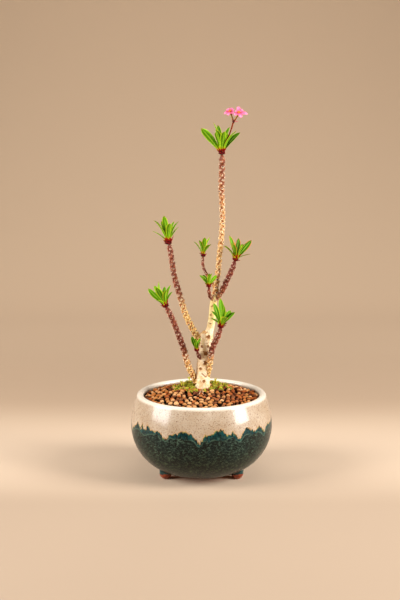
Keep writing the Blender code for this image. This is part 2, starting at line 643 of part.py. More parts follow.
def blade(name, length, width, stations, edge, rib, fold, bow):
    """A thin folded blade that grows along +Y and faces +Z, split into triangles alike on both faces."""
    builder = bmesh.new()
    rows = []
    for part, share in stations:
        half = width / 2 * share
        out = half * math.cos(fold)
        middle = 4 * bow * length * part * (1 - part)
        raised = middle + half * math.sin(fold)
        row = []
        for across, height, thick in ((-out, raised, edge), (0, middle, rib), (out, raised, edge)):
            row.append(builder.verts.new((across, length * part, height + thick / 2)))
            row.append(builder.verts.new((across, length * part, height - thick / 2)))
        rows.append(row)
    for lower, upper in zip(rows, rows[1:]):
        for outer in (0, 4):
            for face in (0, 1):
                a, b = outer + face, 2 + face
                builder.faces.new((lower[a], lower[b], upper[b]))
                builder.faces.new((lower[a], upper[b], upper[a]))
            builder.faces.new((lower[outer], upper[outer], upper[outer + 1], lower[outer + 1]))
    for row in (rows[0], rows[-1]):
        for outer in (0, 4):
            builder.faces.new((row[outer], row[2], row[3], row[outer + 1]))
    return object_from(name, builder)


def set_on(obj, root, along, facing):
    """Places a blade with its root on a point, growing one way and facing another."""
    across = along.cross(facing)
    obj.matrix_world = Matrix.Translation(root) @ Matrix((across, along, facing)).transposed().to_4x4()


def square_to(direction, along):
    """The part of a direction that is square to another one."""
    return (direction - along * direction.dot(along)).normalized()


def bearing_and_lean(bearing, lean):
    """A direction from its bearing round the upright and its lean away from it, in degrees."""
    bearing, lean = math.radians(bearing), math.radians(lean)
    return Vector((math.cos(bearing) * math.sin(lean), math.sin(bearing) * math.sin(lean), math.cos(lean)))


def rosette_places(rosette):
    """Where a rosette's red foot and green heart stand on its shoot, how they lean, and their scale."""
    route = ROUTE_OF[rosette]
    axis = (Vector(route[-1][:3]) - Vector(route[-2][:3])).normalized()
    scale = max(SMALLEST_ROSETTE, min(route[-1][3] / FULL_SHOOT, 1)) * 0.001
    foot = end_of(route) + axis * GAP
    return foot, foot + axis * (COLLAR_HEIGHT * scale + GAP), axis, scale


def cone(name, low, axis, lower_radius, upper_radius, height, sides):
    """A closed cone or prism that stands on a place, along an axis."""
    builder = bmesh.new()
    bmesh.ops.create_cone(
        builder, cap_ends=True, segments=sides, radius1=lower_radius, radius2=upper_radius, depth=height)
    bmesh.ops.translate(builder, vec=(0, 0, height / 2), verts=builder.verts)
    obj = object_from(name, builder)
    obj.location = low
    turn_to(obj, axis)
    return obj


def turn_to(obj, axis):
    """Turns an object so that its +Z points along the axis."""
    obj.rotation_mode = "QUATERNION"
    obj.rotation_quaternion = Vector((0, 0, 1)).rotation_difference(axis)


def make_leaf_foot(rosette, material):
    """The red foot of a rosette: a collar on the shoot's end, with one stalk stub under each leaf."""
    foot, _, axis, scale = rosette_places(rosette)
    pieces = [cone(
        "collar", foot, axis, COLLAR_LOWER_RADIUS * scale, HEART_RADIUS * scale, COLLAR_HEIGHT * scale,
        COLLAR_SIDES)]
    for bearing, lean, _, _ in ROSETTES[rosette]:
        out = square_to(bearing_and_lean(bearing, lean), axis)
        stub = out * math.cos(LEAF_STALK_RISE) + axis * math.sin(LEAF_STALK_RISE)
        start = foot + (axis * LEAF_STALK_HEIGHT + out * LEAF_STALK_OFFSET) * scale
        pieces.append(cone(
            "stalk_stub", start, stub, LEAF_STALK_RADIUS * scale, LEAF_STALK_RADIUS * scale * LEAF_STALK_TIP,
            LEAF_STALK_LENGTH * scale, 4))
    return union("leaf_foot_" + rosette, pieces, material)


def make_leaves(rosette, material):
    """The green blades of a rosette, fused at its heart."""
    _, heart, axis, scale = rosette_places(rosette)
    pieces = [ball(
        heart + axis * HEART_HEIGHT * scale / 2, HEART_RADIUS * scale,
        stretch=(1, 1, HEART_HEIGHT / HEART_RADIUS / 2))]
    for bearing, lean, length, width in ROSETTES[rosette]:
        along = bearing_and_lean(bearing, lean)
        stations = LEAF_STATIONS if width > NARROW_LEAF else NARROW_STATIONS
        leaf = blade(
            "blade", length * 0.001, width * 0.001, stations, LEAF_EDGE, LEAF_RIB, LEAF_FOLD, LEAF_BOW)
        set_on(leaf, heart + axis * LEAF_ROOT * scale, along, square_to(axis, along))
        pieces.append(leaf)
    leaves = union("leaves_" + rosette, pieces, material)
    shade(leaves)
    return leaves


def make_stalk(material):
    routes = {"stalk": STALK, "left_pedicel": LEFT_PEDICEL, "right_pedicel": RIGHT_PEDICEL}
    pieces = [tube(name, route, STALK_SIDES, STALK_PITCH) for name, route in routes.items()]
    pieces.append(ball(mm(*STALK[-1][:3]), FORK_RADIUS))
    stalk = union("flower_stalk", pieces, material)
    shade(stalk)
    return stalk


def make_bract(material):
    """The one small bract, which stands off the right side of the fork."""
    along = bearing_and_lean(BRACT_BEARING, BRACT_LEAN)
    bract = blade(
        "stalk_bract", BRACT_LENGTH, BRACT_WIDTH, NARROW_STATIONS, LEAF_EDGE, LEAF_EDGE, LEAF_FOLD, LEAF_BOW)
    root = mm(*STALK[-1][:3]) + along * (FORK_RADIUS + 2 * GAP)
    set_on(bract, root, along, square_to(Vector((0, 0, 1)), along))
    bract.data.materials.append(material)
    return bract


def make_bloom(side, petal_material, eye_material):
    """Petals on a small cup at the pedicel's end, with the raised eye in their middle."""
    pedicel, facing, petals = BLOOMS[side]
    normal = Vector(facing).normalized()
    right = Vector((0, 0, 1)).cross(normal).normalized()
    up = normal.cross(right)
    cup = end_of(pedicel) + normal * CUP_LIFT
    pieces = [cone("cup", cup, normal, CUP_BASE_RADIUS, CUP_RADIUS, CUP_HEIGHT, CUP_SIDES)]
    for bearing, length in petals:
        angle = math.radians(bearing)
        flat = right * math.cos(angle) + up * math.sin(angle)
        along = flat * math.cos(PETAL_LIFT) + normal * math.sin(PETAL_LIFT)
        petal = blade(
            "petal", length * 0.001, PETAL_WIDTH, PETAL_STATIONS, PETAL_THICKNESS, PETAL_THICKNESS,
            PETAL_FOLD, PETAL_BOW)
        root = cup + normal * CUP_HEIGHT / 2 + along * CUP_RADIUS / 2
        set_on(petal, root, along, square_to(normal, along))
        pieces.append(petal)
    bloom = union("bloom_" + side + "_petals", pieces, petal_material)
    shade(bloom)

    eye = ball(cup + normal * (CUP_HEIGHT + EYE_LIFT), EYE_RADIUS)
    for vert in eye.data.vertices:
        vert.co.z = max(vert.co.z, 0)
    turn_to(eye, normal)
    eye.name = "bloom_" + side + "_eye"
    eye.data.materials.append(eye_material)
    return bloom, eye


def main():
    clear_scene()
    finish = {name: make_material(name, colour, roughness) for name, (colour, roughness) in FINISHES.items()}
    nodes = [
        make_bowl(finish["bowl_glaze"]),
        make_drain_mesh(finish["drain_plastic"]),
        make_potting_mix(finish["potting_mix"]),
        make_grain_layer(finish["fired_clay"]),
        make_stem(finish["bark"]),
        make_stalk(finish["flower_stalk"]),
        make_bract(finish["petal"]),
    ]
    for rosette in ROSETTES:
        nodes.append(make_leaf_foot(rosette, finish["leaf_foot"]))
        nodes.append(make_leaves(rosette, finish["leaf"]))
    for side in BLOOMS:
        nodes += make_bloom(side, finish["petal"], finish["flower_eye"])
    whole = bpy.data.objects.new("potted_euphorbia", None)
    bpy.context.scene.collection.objects.link(whole)
    for node in nodes:
        node.parent = whole


main()
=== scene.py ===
"""The looks of a potted euphorbia: a glazed stoneware bowl on three ball feet, fired-clay grains
with moss, a scarred trunk and studded stems, eight rosettes of leaves and a forked flower stalk.

Places along the stems and sizes are in millimetres until a mesh is made, which is in metres.
The origin lies on the table, on the bowl's axis. The plant's front faces -Y.
"""

import math

import bmesh
import bpy
import numpy as np
from bpy.props import FloatProperty, FloatVectorProperty, IntProperty, PointerProperty
from mathutils import Matrix, Vector, noise


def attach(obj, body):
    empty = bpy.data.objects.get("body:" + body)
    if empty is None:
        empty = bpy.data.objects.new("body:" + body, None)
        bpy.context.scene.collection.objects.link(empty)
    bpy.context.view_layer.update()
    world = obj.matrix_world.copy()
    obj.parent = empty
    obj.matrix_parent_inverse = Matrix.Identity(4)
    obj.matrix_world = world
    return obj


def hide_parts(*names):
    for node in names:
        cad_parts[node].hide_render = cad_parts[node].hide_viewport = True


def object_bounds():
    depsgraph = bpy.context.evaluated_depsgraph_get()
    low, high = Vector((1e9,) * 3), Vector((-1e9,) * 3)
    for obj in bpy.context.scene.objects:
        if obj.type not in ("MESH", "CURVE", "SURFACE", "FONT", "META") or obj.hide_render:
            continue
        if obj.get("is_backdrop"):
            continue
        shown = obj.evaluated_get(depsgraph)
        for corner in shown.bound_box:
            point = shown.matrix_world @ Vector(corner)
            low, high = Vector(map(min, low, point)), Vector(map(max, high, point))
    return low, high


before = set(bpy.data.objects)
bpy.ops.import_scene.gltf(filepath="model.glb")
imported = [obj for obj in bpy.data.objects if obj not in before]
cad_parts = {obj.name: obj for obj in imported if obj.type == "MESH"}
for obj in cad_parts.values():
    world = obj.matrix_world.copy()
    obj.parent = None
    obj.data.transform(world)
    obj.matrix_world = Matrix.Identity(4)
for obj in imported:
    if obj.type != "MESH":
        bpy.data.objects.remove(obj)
CAD_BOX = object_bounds()

bl_info = {
    "name": "Potted euphorbia",
    "version": (1, 0, 0),
    "blender": (4, 5, 0),
    "location": "View3D > Sidebar > Euphorbia",
    "description": "Dresses the solids of a potted euphorbia with their glaze, grains, bark and leaves",
    "category": "Add Mesh",
}

MM = 0.001
BODY = "root"
GOLDEN_ANGLE = math.pi * (3 - math.sqrt(5))
UP = Vector((0, 0, 1))
SPAN_STEPS = 12

# The bowl's section
BOWL_RADIUS = 60
BELLY_HEIGHT = 43
BASE_HEIGHT, BASE_RADIUS = 2.8, 22
LOWER_ROUNDNESS, UPPER_ROUNDNESS = 1.95, 1.76
RIM_HEIGHT, RIM_RADIUS = 70.2, 54
SHOULDER_HEIGHT = 68
WALL = 5.6
FLOOR_HEIGHT, FLOOR_RADIUS = 9.5, 17
DRAIN_RADIUS = 6
FOOT_BEARINGS = (90, 210, 330)
FOOT_CIRCLE = 34.9
FOOT_RADIUS, FOOT_BALL_HEIGHT, FOOT_NECK_TOP = 5.2, 4.7, 11.5

# The dressing
EDGE_HEIGHT, MOUND_RISE = 65, 7.8
# The grains are heaped up behind the trunk: height, middle (x, y), reach (x, y)
HEAP = (4.8, 0, 10, 20, 11)
PEBBLE_CORNERS, PEBBLE_FORMS = 34, 7
# The grains' sheet (outer and inner radius), and the lower layer's size against the upper's
GRAIN_SHEET, BED_SHRINK = (47.6, 6), 0.9
MOST_POINTS = 8.0e6
MOSS_DROP, MOSS_DOME, SPRIG_TUMBLE = 0.9, 2.1, 0.35
SEEDLING_RISE = 2.2
# Moss patches: (x, y, radius)
MOSS_PATCHES = [
    (-9, 2.5, 3), (-13.5, 4.5, 2.6), (-18.5, 6, 2.2), (-8, 8.5, 2.8), (-3, 10.5, 2.6),
    (-13, 10.5, 2.4), (4.5, 11, 2.8), (10, 7.5, 3), (15.5, 4.5, 2.6), (15, 11, 2.4),
    (20.5, 7, 2.2), (11, 0.5, 2.4), (8.5, -4, 1.8), (16.5, -2, 1.6), (-7, -3.5, 2.4),
    (-12.5, -4, 2.2), (-17.5, -1, 2), (-9, -9, 1.6), (-4.5, -8.5, 1.8), (0.5, 17, 2.6),
    (-11, 17, 2.2), (9.5, 17.5, 2), (22, 15, 1.8), (-23, 9.5, 1.8), (2.5, -8, 1.4),
    (-21, 0.5, 1.5), (25, 3, 1.5), (-3.5, 25, 2.2), (13, 25, 1.8), (-16, 24, 1.8),
]
# Thin roots on the grains: (x, y, rise above the mound, radius)
ROOTLETS = [
    [(-2.2, -19.5, 1.9, 0.16), (-1.2, -17.5, 2.6, 0.2), (-1.6, -15.5, 2.2, 0.2), (-0.6, -13, 2.6, 0.22),
     (0, -11, 1.4, 0.2)],
    [(1.6, -19, 1.8, 0.14), (0.9, -17, 2.5, 0.18), (1.5, -14.8, 2.3, 0.18), (0.6, -12.6, 2.4, 0.18),
     (1.2, -10.6, 1.3, 0.18)],
]
# Seedlings: (x, y, height, lean)
SEEDLINGS = [
    (-16.6, 2, 5, -0.6), (-15.2, 1.2, 3.6, 0.7), (11.6, 3, 5.6, 0.3), (12.4, 2.2, 3.8, 0.9),
    (18.6, 3, 3.2, 0.9), (20.2, 3.6, 2.8, 1.2), (-10.4, 12, 3.4, -0.4), (4.6, 14, 3.8, 0.4),
]

# Stems: each route point is (x, y, z, radius)
TRUNK = [
    (1, 0, 38, 3), (1, 0, 50, 5), (1, 0, 63, 6.1), (1, 0, 72, 6.4),
    (1.1, 0, 79, 6), (1.3, 0.2, 86, 5.6), (1.4, 0.5, 98, 5.2), (3.2, 0.8, 110.5, 4.8),
    (5.6, 1, 119, 4.1), (7.5, 1.2, 126, 3.2), (8.8, 1.5, 134.5, 2.9), (9.8, 1.8, 145.5, 2.8),
    (11.3, 2, 153.5, 2.7),
]
CUT_STUB = [(3, -0.5, 107, 3.6), (2.4, -1.2, 114, 3.1), (2, -2, 122.5, 2.8)]
MAIN_STEM = [
    (10, 1.9, 147, 2.2), (11.9, 1.8, 159, 2.1), (13, 1.7, 168, 2), (14.2, 1.5, 177, 2),
    (14.9, 1.4, 186.5, 1.9), (15.9, 1.2, 195.5, 1.9), (16.7, 1, 204.5, 1.9), (17.2, 0.9, 213.5, 1.9),
    (17.4, 0.8, 222.5, 1.9), (17, 0.6, 231.5, 1.9), (16.5, 0.5, 243, 2), (16.8, 0.3, 257, 2.1),
    (17, 0.1, 266, 2.1), (16.8, 0, 270.8, 1.8),
]
LONG_LEFT = [
    (2.5, 1, 110, 3), (-2, 1.4, 116, 2.7), (-7.6, 2.7, 125, 2.4), (-11.4, 3.5, 132.5, 2.3),
    (-14.4, 4.4, 140, 2.2), (-18.9, 6.1, 155, 2.1), (-22.7, 7.8, 168, 2), (-24.9, 9.5, 181.5, 2),
    (-26.2, 10.8, 190.5, 2), (-27.2, 11.6, 194.8, 1.8),
]
LOW_LEFT = [
    (0.5, 1, 75, 3.2), (-3.2, 0.8, 79, 2.9), (-6, 0.2, 83, 2.6), (-9, -1.5, 89, 2.4),
    (-12, -3.3, 97, 2.3), (-14.1, -4.7, 105.5, 2.2), (-16.1, -6, 113, 2.2), (-18.9, -7.3, 121, 2.1),
    (-21.6, -8.7, 128.5, 2), (-25.6, -11.3, 139, 1.9), (-28.7, -13, 145.7, 1.7),
]
LOW_RIGHT = [
    (3.6, -0.2, 82, 2.2), (5.8, -2, 88.5, 1.9), (7.2, -4.6, 97, 2.1), (8, -6.5, 104.5, 2.2),
    (9.6, -8, 112, 2.1), (12.4, -9.5, 118, 2), (14.4, -11.5, 123.5, 1.9), (15.5, -13.4, 128.4, 1.7),
]
UPPER_RIGHT = [
    (10.5, 1.9, 149, 2.3), (14.9, 0.6, 154.5, 2.1), (17.9, -0.9, 159.5, 2.1), (20.8, -2.3, 166, 2),
    (23, -3.7, 171, 1.9), (25.2, -5.1, 176.5, 1.9), (26.8, -6.5, 180.5, 1.8), (27.6, -7.4, 183.8, 1.6),
]
UPPER_BACK = [
    (11.5, 2, 160.5, 1.5), (6.5, 3.7, 168, 1.2), (3.1, 7.1, 173, 1.1), (1.1, 10.2, 178.5, 1.1),
    (1.4, 13.4, 184.5, 1.1),
]
UPPER_FRONT = [
    (9.9, 1.6, 149.5, 1.6), (7.2, -1.3, 153.5, 1.4), (6.3, -4, 158, 1.3), (6.1, -5.7, 161.6, 1.2),
]
TRUNK_SHOOT = [(0.5, -1.5, 99.5, 1.6), (-2.3, -4.5, 103, 1.4), (-3.5, -7.2, 107.6, 1.2)]
ROUTE_OF = {
    "top": MAIN_STEM, "long_left": LONG_LEFT, "low_left": LOW_LEFT, "low_right": LOW_RIGHT,
    "upper_right": UPPER_RIGHT, "upper_back": UPPER_BACK, "upper_front": UPPER_FRONT,
    "trunk_shoot": TRUNK_SHOOT,
}
# How golden (0) or maroon (1) each shoot's bark is at its foot and its tip, and where it changes
BARK_TONES = {
    "top": (0.26, 0.78, 0.35, 1), "long_left": (0, 0.85, 0.32, 0.6), "low_left": (0.05, 0.9, 0.22, 0.55),
    "low_right": (0.05, 0.90, 0.25, 0.6), "upper_right": (0.60, 0.95, 0, 0.5),
    "upper_back": (0.45, 0.85, 0, 0.6), "upper_front": (0.70, 0.90, 0, 0.5), "trunk_shoot": (0.90, 1, 0, 0.5),
}

# Shoots slimmer than this have fewer sides, flatter cushions and shorter spines
SLIM_SHOOT = 1.55

# Small marks all round the trunk: how many, the lowest one's height, and the rise from one to the next
TRUNK_MARKS = (46, 76, 1.55)
# Scars on the trunk: (x, z, radius), those on its front and those on its back
FRONT_SCARS = [
    (2.4, 122, 1.6), (5.6, 119, 1.9), (0.4, 118, 1.6), (5.6, 111, 1.5), (0.4, 110.8, 1.3),
    (3.6, 105.4, 2.3), (3.4, 97, 2.2), (2.1, 81.5, 1.5), (-0.8, 92, 1.3), (7.9, 137.5, 1.2),
    (9.2, 145, 1.3), (11, 149.5, 1.2), (7.2, 130.5, 1.1), (10.6, 139, 1), (8.6, 152, 1.1),
]
BACK_SCARS = [(1, 90, 1.4), (3, 103, 1.4), (-0.5, 80, 1.3), (6.2, 121.5, 1.2), (9, 136, 1.1)]

# Wrinkles of the trunk's bark: (places along it, width)
TRUNK_CREASES = [
    ([(0.3, -5.3, 88.1), (2.4, -5.3, 85.9), (3.8, -4.8, 84.8), (5.6, -3.4, 87.2), (6.6, -1.8, 89.5)], 0.6),
    ([(-3.9, -2.6, 87), (-4.1, -2, 90), (-3.6, -2.8, 92.4)], 0.7),
    ([(-3, 4, 95), (0.5, 5.9, 93.6), (4.2, 4.9, 94.8)], 0.35),
    ([(-1.6, -4.3, 101.8), (0.6, -4.8, 101), (3.2, -4.6, 101.7)], 0.28),
    ([(1.2, -3.6, 113.6), (3.6, -3.9, 113), (6.2, -3.2, 113.9)], 0.26),
    ([(5.6, 4.2, 112), (3, 5.4, 111), (0.8, 5, 112.6)], 0.30),
]

# Rosettes: leaves are (bearing from +X, lean from upright, length, width, and for some a roll), in degrees
FULL_SHOOT, SMALLEST_ROSETTE = 1.8, 0.7
END_ROUNDING = 0.5
GAP = 0.3
COLLAR_HEIGHT, LEAF_ROOT = 2, 1.2
# The red foot's outline (rise, radius), and how many knobs it has
COLLAR_LINE = [(0, 1.6), (0.35, 2.2), (0.8, 2.5), (1.4, 2.6), (2, 2.5), (2.7, 2.2), (3.3, 1.7), (3.9, 0.9)]
COLLAR_KNOBS, COLLAR_SIDES, STALK_SIDES = 17, 30, 12
LEAF_DROP, LEAF_SPREAD = 1, 1.2
NARROW_LEAF = 4.3
ROSETTES = {
    "top": [
        (193, 44, 25, 6.4, 66), (205, 17, 23.5, 5.2, -25), (110, 23, 22, 4.2), (250, 36, 22, 5.4, -10),
        (277, 43, 22, 5.4), (54, 29, 21.5, 4.6), (319, 41, 22, 5.4, 28), (12, 46, 21, 5.2, 42),
        (108, 47, 21, 4.8), (70, 50, 20, 4.6)],
    "long_left": [
        (200, 33, 21, 5.2, -42), (126, 33, 18, 3.8), (237, 16, 22, 5.4, -10), (277, 37, 20, 5.2),
        (23, 18, 16.5, 4.2, 32), (36, 33, 18.5, 4.6, 15), (56, 58, 18.5, 2.2), (155, 63, 16, 2.4),
        (86, 44, 18, 4.4), (112, 56, 17, 4.2)],
    "low_left": [
        (168, 50, 18.5, 4.8, -45), (135, 43, 18.5, 4.2), (236, 38, 19.5, 5.2, -15), (215, 20, 20, 5, -20),
        (276, 44, 20, 5.2), (326, 18, 16.5, 4.4, 30), (58, 52, 14, 2.2), (247, 72, 17, 2.8),
        (92, 44, 17, 4.2), (112, 60, 15, 3.8)],
    "low_right": [
        (94, 16, 21.5, 5), (171, 20, 18.5, 5, -30), (226, 42, 16.5, 4.4, -25), (284, 26, 21, 5.2),
        (27, 39, 14, 4.6, 30), (331, 48, 16.5, 4.8, 35), (284, 59, 18, 5.6), (140, 72, 11.5, 2.4),
        (62, 52, 14, 3.8)],
    "upper_right": [
        (223, 51, 17, 3.8, -25), (159, 18, 18.5, 4.4, -20), (256, 43, 18, 4.6), (71, 26, 16.5, 4.6),
        (323, 39, 16, 4.2, 25), (13, 44, 19, 5, 42), (333, 76, 13.5, 2.2), (102, 46, 16.5, 4),
        (62, 54, 16, 3.8)],
    "upper_back": [
        (142, 45, 13.5, 3.6, -10), (242, 30, 14, 3.8, -15), (293, 13, 14.5, 4.6), (43, 29, 15, 4.6, 10),
        (303, 49, 14.5, 4.6, 20), (92, 42, 13, 4.4)],
    "upper_front": [
        (209, 45, 11.5, 3.4, -30), (127, 47, 10.5, 3.2), (284, 38, 13.5, 4.4), (24, 46, 10, 3.4, 30),
        (85, 36, 10, 3.2)],
    "trunk_shoot": [
        (209, 22, 11.5, 3.8, -20), (304, 33, 11, 3.8, 20), (269, 46, 12.5, 3.8), (110, 22, 8.5, 2.8)],
}
# Half widths of the two leaf outlines and the petal: (share of the length, share of the half width)
BROAD_LEAF_LINE = [(0, 0.34), (0.25, 0.64), (0.60, 1), (0.86, 0.76), (1, 0.08)]
SLIM_LEAF_LINE = [(0, 0.36), (0.32, 0.80), (0.66, 1), (0.90, 0.68), (1, 0.08)]
PETAL_LINE = [(0, 0.30), (0.32, 0.82), (0.58, 1), (0.84, 0.68), (1, 0.10)]
# The sizes at which forms are made: (length, width)
LEAF_REFERENCE = (20, 4.5)
SCALE_REFERENCE = (4, 1.5)
PETAL_REFERENCE = (5, 4)
# How red the leaf margins are in each rosette
LEAF_BLUSH = {"top": 0.10, "upper_right": 0.85, "upper_back": 0.45, "low_right": 0.25, "long_left": 0.2}

# The flower stalk and its two blooms
STALK = [
    (17, 0, 276, 0.6), (18.4, -0.1, 279, 0.6), (19.7, 0, 282.3, 0.58), (22, 0, 286, 0.55),
    (24.4, 0, 292.5, 0.58), (26.2, -0.5, 298.7, 0.7),
]
LEFT_PEDICEL = [(26.2, -0.5, 298.3, 0.68), (25.2, 0.6, 301.5, 0.58), (24, 2.8, 305.2, 0.66)]
RIGHT_PEDICEL = [(26.2, -0.5, 298.3, 0.68), (28, -0.6, 301, 0.58), (30.3, -0.9, 304.6, 0.66)]
FORK_RADIUS = 1
BRACT_LENGTH, BRACT_WIDTH = 2.2, 1.4
BRACT_BEARING, BRACT_LEAN = 350, 92
# A bloom is its pedicel, the way it faces and its petals: (bearing in its plane in degrees, length)
BLOOMS = {
    "left": (LEFT_PEDICEL, (-0.28, -0.58, 0.76), [
        (212, 5), (271, 5), (332, 4.4), (28, 3.6), (88, 4.4), (145, 4)]),
    "right": (RIGHT_PEDICEL, (0.02, -0.74, 0.67), [
        (347, 7), (287, 5.6), (212, 4.2), (93, 5.6), (45, 4.4), (158, 2.8)]),
}
PETAL_WIDTH = 3.5
PETAL_LIFT = math.radians(8)
CUP_LIFT, CUP_HEIGHT, CUP_RADIUS = 0.7, 0.9, 1.1
EYE_LIFT = 0.7

# Heights that the cream's edge and the seam lie about, where they are traced, and where rings lie closer
CREAM_MEAN, SEAM_MEAN = 49, 45
FRAYED, FINE_RINGS = (36, 58), (37, 57)
# A distance from the glazes' edges that counts as far
FAR = 12.0
# Lower edge of the cream glaze: (bearing from the front towards +X in degrees, height)
CREAM_EDGE = [
    (-90, 49.5), (-82, 48.5), (-75, 43), (-69, 46.5), (-63, 51.5), (-59, 49), (-57, 46.5), (-55.5, 51),
    (-53, 48), (-50, 48.5), (-48, 52.5), (-45, 49), (-42, 49), (-38, 49.5), (-34.5, 48.5),
    (-32, 46), (-30, 44), (-28, 44.5), (-26.5, 47.5), (-23, 48.5), (-20, 49.5), (-17, 51),
    (-14.5, 51), (-11.5, 51), (-8, 49.5), (-6, 47), (-3.5, 45), (-1.5, 42.5), (0, 45),
    (2, 48), (4, 49.5), (6, 49), (8, 50), (10.5, 51), (12.5, 53), (15, 53.5), (17, 52.5),
    (19, 50), (21, 48.5), (23.5, 49.5), (25.5, 50.5), (27.5, 48), (29.5, 45), (31, 44.5),
    (33.5, 47.5), (35.5, 50.5), (37.5, 51.5), (40.5, 52), (43, 50), (46, 48), (49, 48),
    (51.5, 50), (53.5, 51), (56, 48.5), (58.5, 46.5), (59.5, 42.5), (61.5, 45.5), (65, 49),
    (69, 49), (73, 49.5), (76, 49.5), (83.5, 51.5), (90, 49.5), (95, 45), (98, 44.5), (102, 49),
    (108, 51.5), (113, 50), (117, 46), (119, 43), (121, 46.5), (126, 50.5), (132, 52.5),
    (137, 50), (141, 49), (145, 45), (148, 46), (153, 50), (159, 51.5), (164, 48),
    (167, 44), (169, 43.5), (172, 48), (178, 51), (184, 52), (189, 49), (192, 45.5),
    (195, 49.5), (201, 51.5), (207, 49.5), (211, 46), (214, 42.5), (216, 46), (221, 50.5),
    (228, 52.5), (234, 50), (238, 47.5), (243, 50), (248, 51), (252, 47.5), (255, 44),
    (258, 47), (264, 50.5), (270, 49.5),
]
# The thin pale line under the bright band
SEAM = [
    (-90, 47), (-80, 45.5), (-75, 41.5), (-69, 44), (-66, 45.5), (-61, 46.5), (-56.5, 44.5),
    (-52, 43), (-46, 45.5), (-41.5, 46.5), (-36.5, 47), (-33.5, 45.5), (-32, 43.5), (-30, 42),
    (-27.5, 43.5), (-26, 46), (-22, 45), (-18, 46), (-13, 45), (-8, 45.5), (-5.5, 44),
    (-3.5, 40.5), (-1.5, 39.5), (0, 41.5), (1.5, 44.5), (4, 45), (5.5, 43), (7.5, 45), (10, 45.5),
    (14, 44.5), (18.5, 44), (22, 46), (25.5, 46.5), (27.5, 44.5), (30.5, 41.5), (33, 43),
    (35.5, 46), (38.5, 47), (42, 45.5), (47, 45.5), (51, 46.5), (55.5, 44.5), (59.5, 40.5),
    (61.5, 43.5), (66, 46), (72.5, 46), (81, 48.5), (90, 46.5), (95, 42.5), (98, 42), (103, 46),
    (110, 47), (116, 43.5), (119, 40.5), (122, 44), (128, 46.5), (135, 47), (141, 45.5),
    (146, 42.5), (150, 45), (158, 47), (164, 44), (168, 41), (172, 45), (180, 46.5),
    (188, 45.5), (192, 42.5), (196, 46), (203, 47), (210, 43.5), (214, 40), (217, 43.5),
    (225, 46.5), (233, 46.5), (239, 44.5), (246, 46.5), (252, 44), (255, 41.5), (258, 44.5),
    (265, 47), (270, 47),
]


def tone(red, green, blue):
    """A display colour of 0 to 255 as the linear colour that Blender's sockets take."""
    shares = [value / 255 for value in (red, green, blue)]
    return tuple(s / 12.92 if s <= 0.04045 else ((s + 0.055) / 1.055) ** 2.4 for s in shares)


# --- Meshes ---


def mesh_piece(name, points, faces, material=None, traits=None):
    """Makes a smooth mesh object from points in millimetres. Traits are values kept for every point."""
    mesh = bpy.data.meshes.new(name)
    mesh.from_pydata((np.asarray(points, float) * MM).tolist(), [], faces)
    for trait, values in (traits or {}).items():
        add_trait(mesh, trait, values)
    if material is not None:
        mesh.materials.append(material)
    if len(mesh.polygons):
        mesh.shade_smooth()
    mesh.update()
    obj = bpy.data.objects.new(name, mesh)
    bpy.context.scene.collection.objects.link(obj)
    return obj


def add_trait(mesh, trait, values):
    """Keeps one number, one whole number or one vector for every point of a mesh."""
    values = np.asarray(values)
    if values.ndim == 2:
        kind, field = "FLOAT_VECTOR", "vector"
    elif values.dtype.kind in "iu":
        kind, field = "INT", "value"
    else:
        kind, field = "FLOAT", "value"
    store = mesh.attributes.new(trait, kind, "POINT")
    store.data.foreach_set(field, values.ravel())


def ring_faces(rings, columns, first=0):
    """Outward faces of a tube whose rings turn anticlockwise round the way it grows."""
    faces = []
    for ring in range(rings - 1):
        low, high = first + ring * columns, first + (ring + 1) * columns
        for column in range(columns):
            following = (column + 1) % columns
            faces.append((low + column, low + following, high + following, high + column))
    return faces


def cap_faces(ring_start, columns, tip, outward=True):
    """Closes a ring with triangles to one point."""
    faces = []
    for column in range(columns):
        here, following = ring_start + column, ring_start + (column + 1) % columns
        faces.append((here, following, tip) if outward else (following, here, tip))
    return faces


class Shells:
    """Gathers closed shells of one piece: points, faces and the traits of every point."""

    def __init__(self, *trait_names):
        self.points, self.faces = [], []
        self.traits = {name: [] for name in trait_names}
        self.count = 0

    def add(self, points, faces, **traits):
        points = np.asarray(points, float)
        self.points.append(points)
        self.faces += [tuple(corner + self.count for corner in face) for face in faces]
        for name, values in self.traits.items():
            values.append(np.broadcast_to(np.asarray(traits.get(name, 0.0), float), (len(points),)))
        self.count += len(points)

    def piece(self, name, material):
        traits = {trait: np.concatenate(values) for trait, values in self.traits.items()}
        return mesh_piece(name, np.vstack(self.points), self.faces, material, traits)


def smooth_route(route, pitch):
    """Even steps along a smooth line through the route: rows of (x, y, z, radius), and their distances."""
    knots = np.array(route, float)
    knots = np.vstack([2 * knots[0] - knots[1], knots, 2 * knots[-1] - knots[-2]])
    t = np.linspace(0, 1, SPAN_STEPS, endpoint=False)[:, None]
    spans = []
    for before, start, end, after in zip(knots, knots[1:], knots[2:], knots[3:]):
        bend = (2 * before - 5 * start + 4 * end - after) * t ** 2
        twist = (3 * start - before - 3 * end + after) * t ** 3
        spans.append((2 * start + (end - before) * t + bend + twist) / 2)
    line = np.vstack(spans + [knots[-2][None]])
    reach = np.concatenate([[0], np.cumsum(np.linalg.norm(np.diff(line[:, :3], axis=0), axis=1))])
    steps = max(2, round(reach[-1] / pitch))
    even = np.linspace(0, reach[-1], steps + 1)
    rows = np.column_stack([np.interp(even, reach, line[:, column]) for column in range(4)])
    return rows, even


def line_frames(points):
    """The way a line grows at each point, and two directions square to it that never spin."""
    grows = np.gradient(points, axis=0)
    grows /= np.linalg.norm(grows, axis=1)[:, None]
    side = np.array([1.0, 0.0, 0.0])
    sides = []
    for way in grows:
        side = side - way * side.dot(way)
        side = side / np.linalg.norm(side)
        sides.append(side)
    sides = np.array(sides)
    return grows, sides, np.cross(grows, sides)


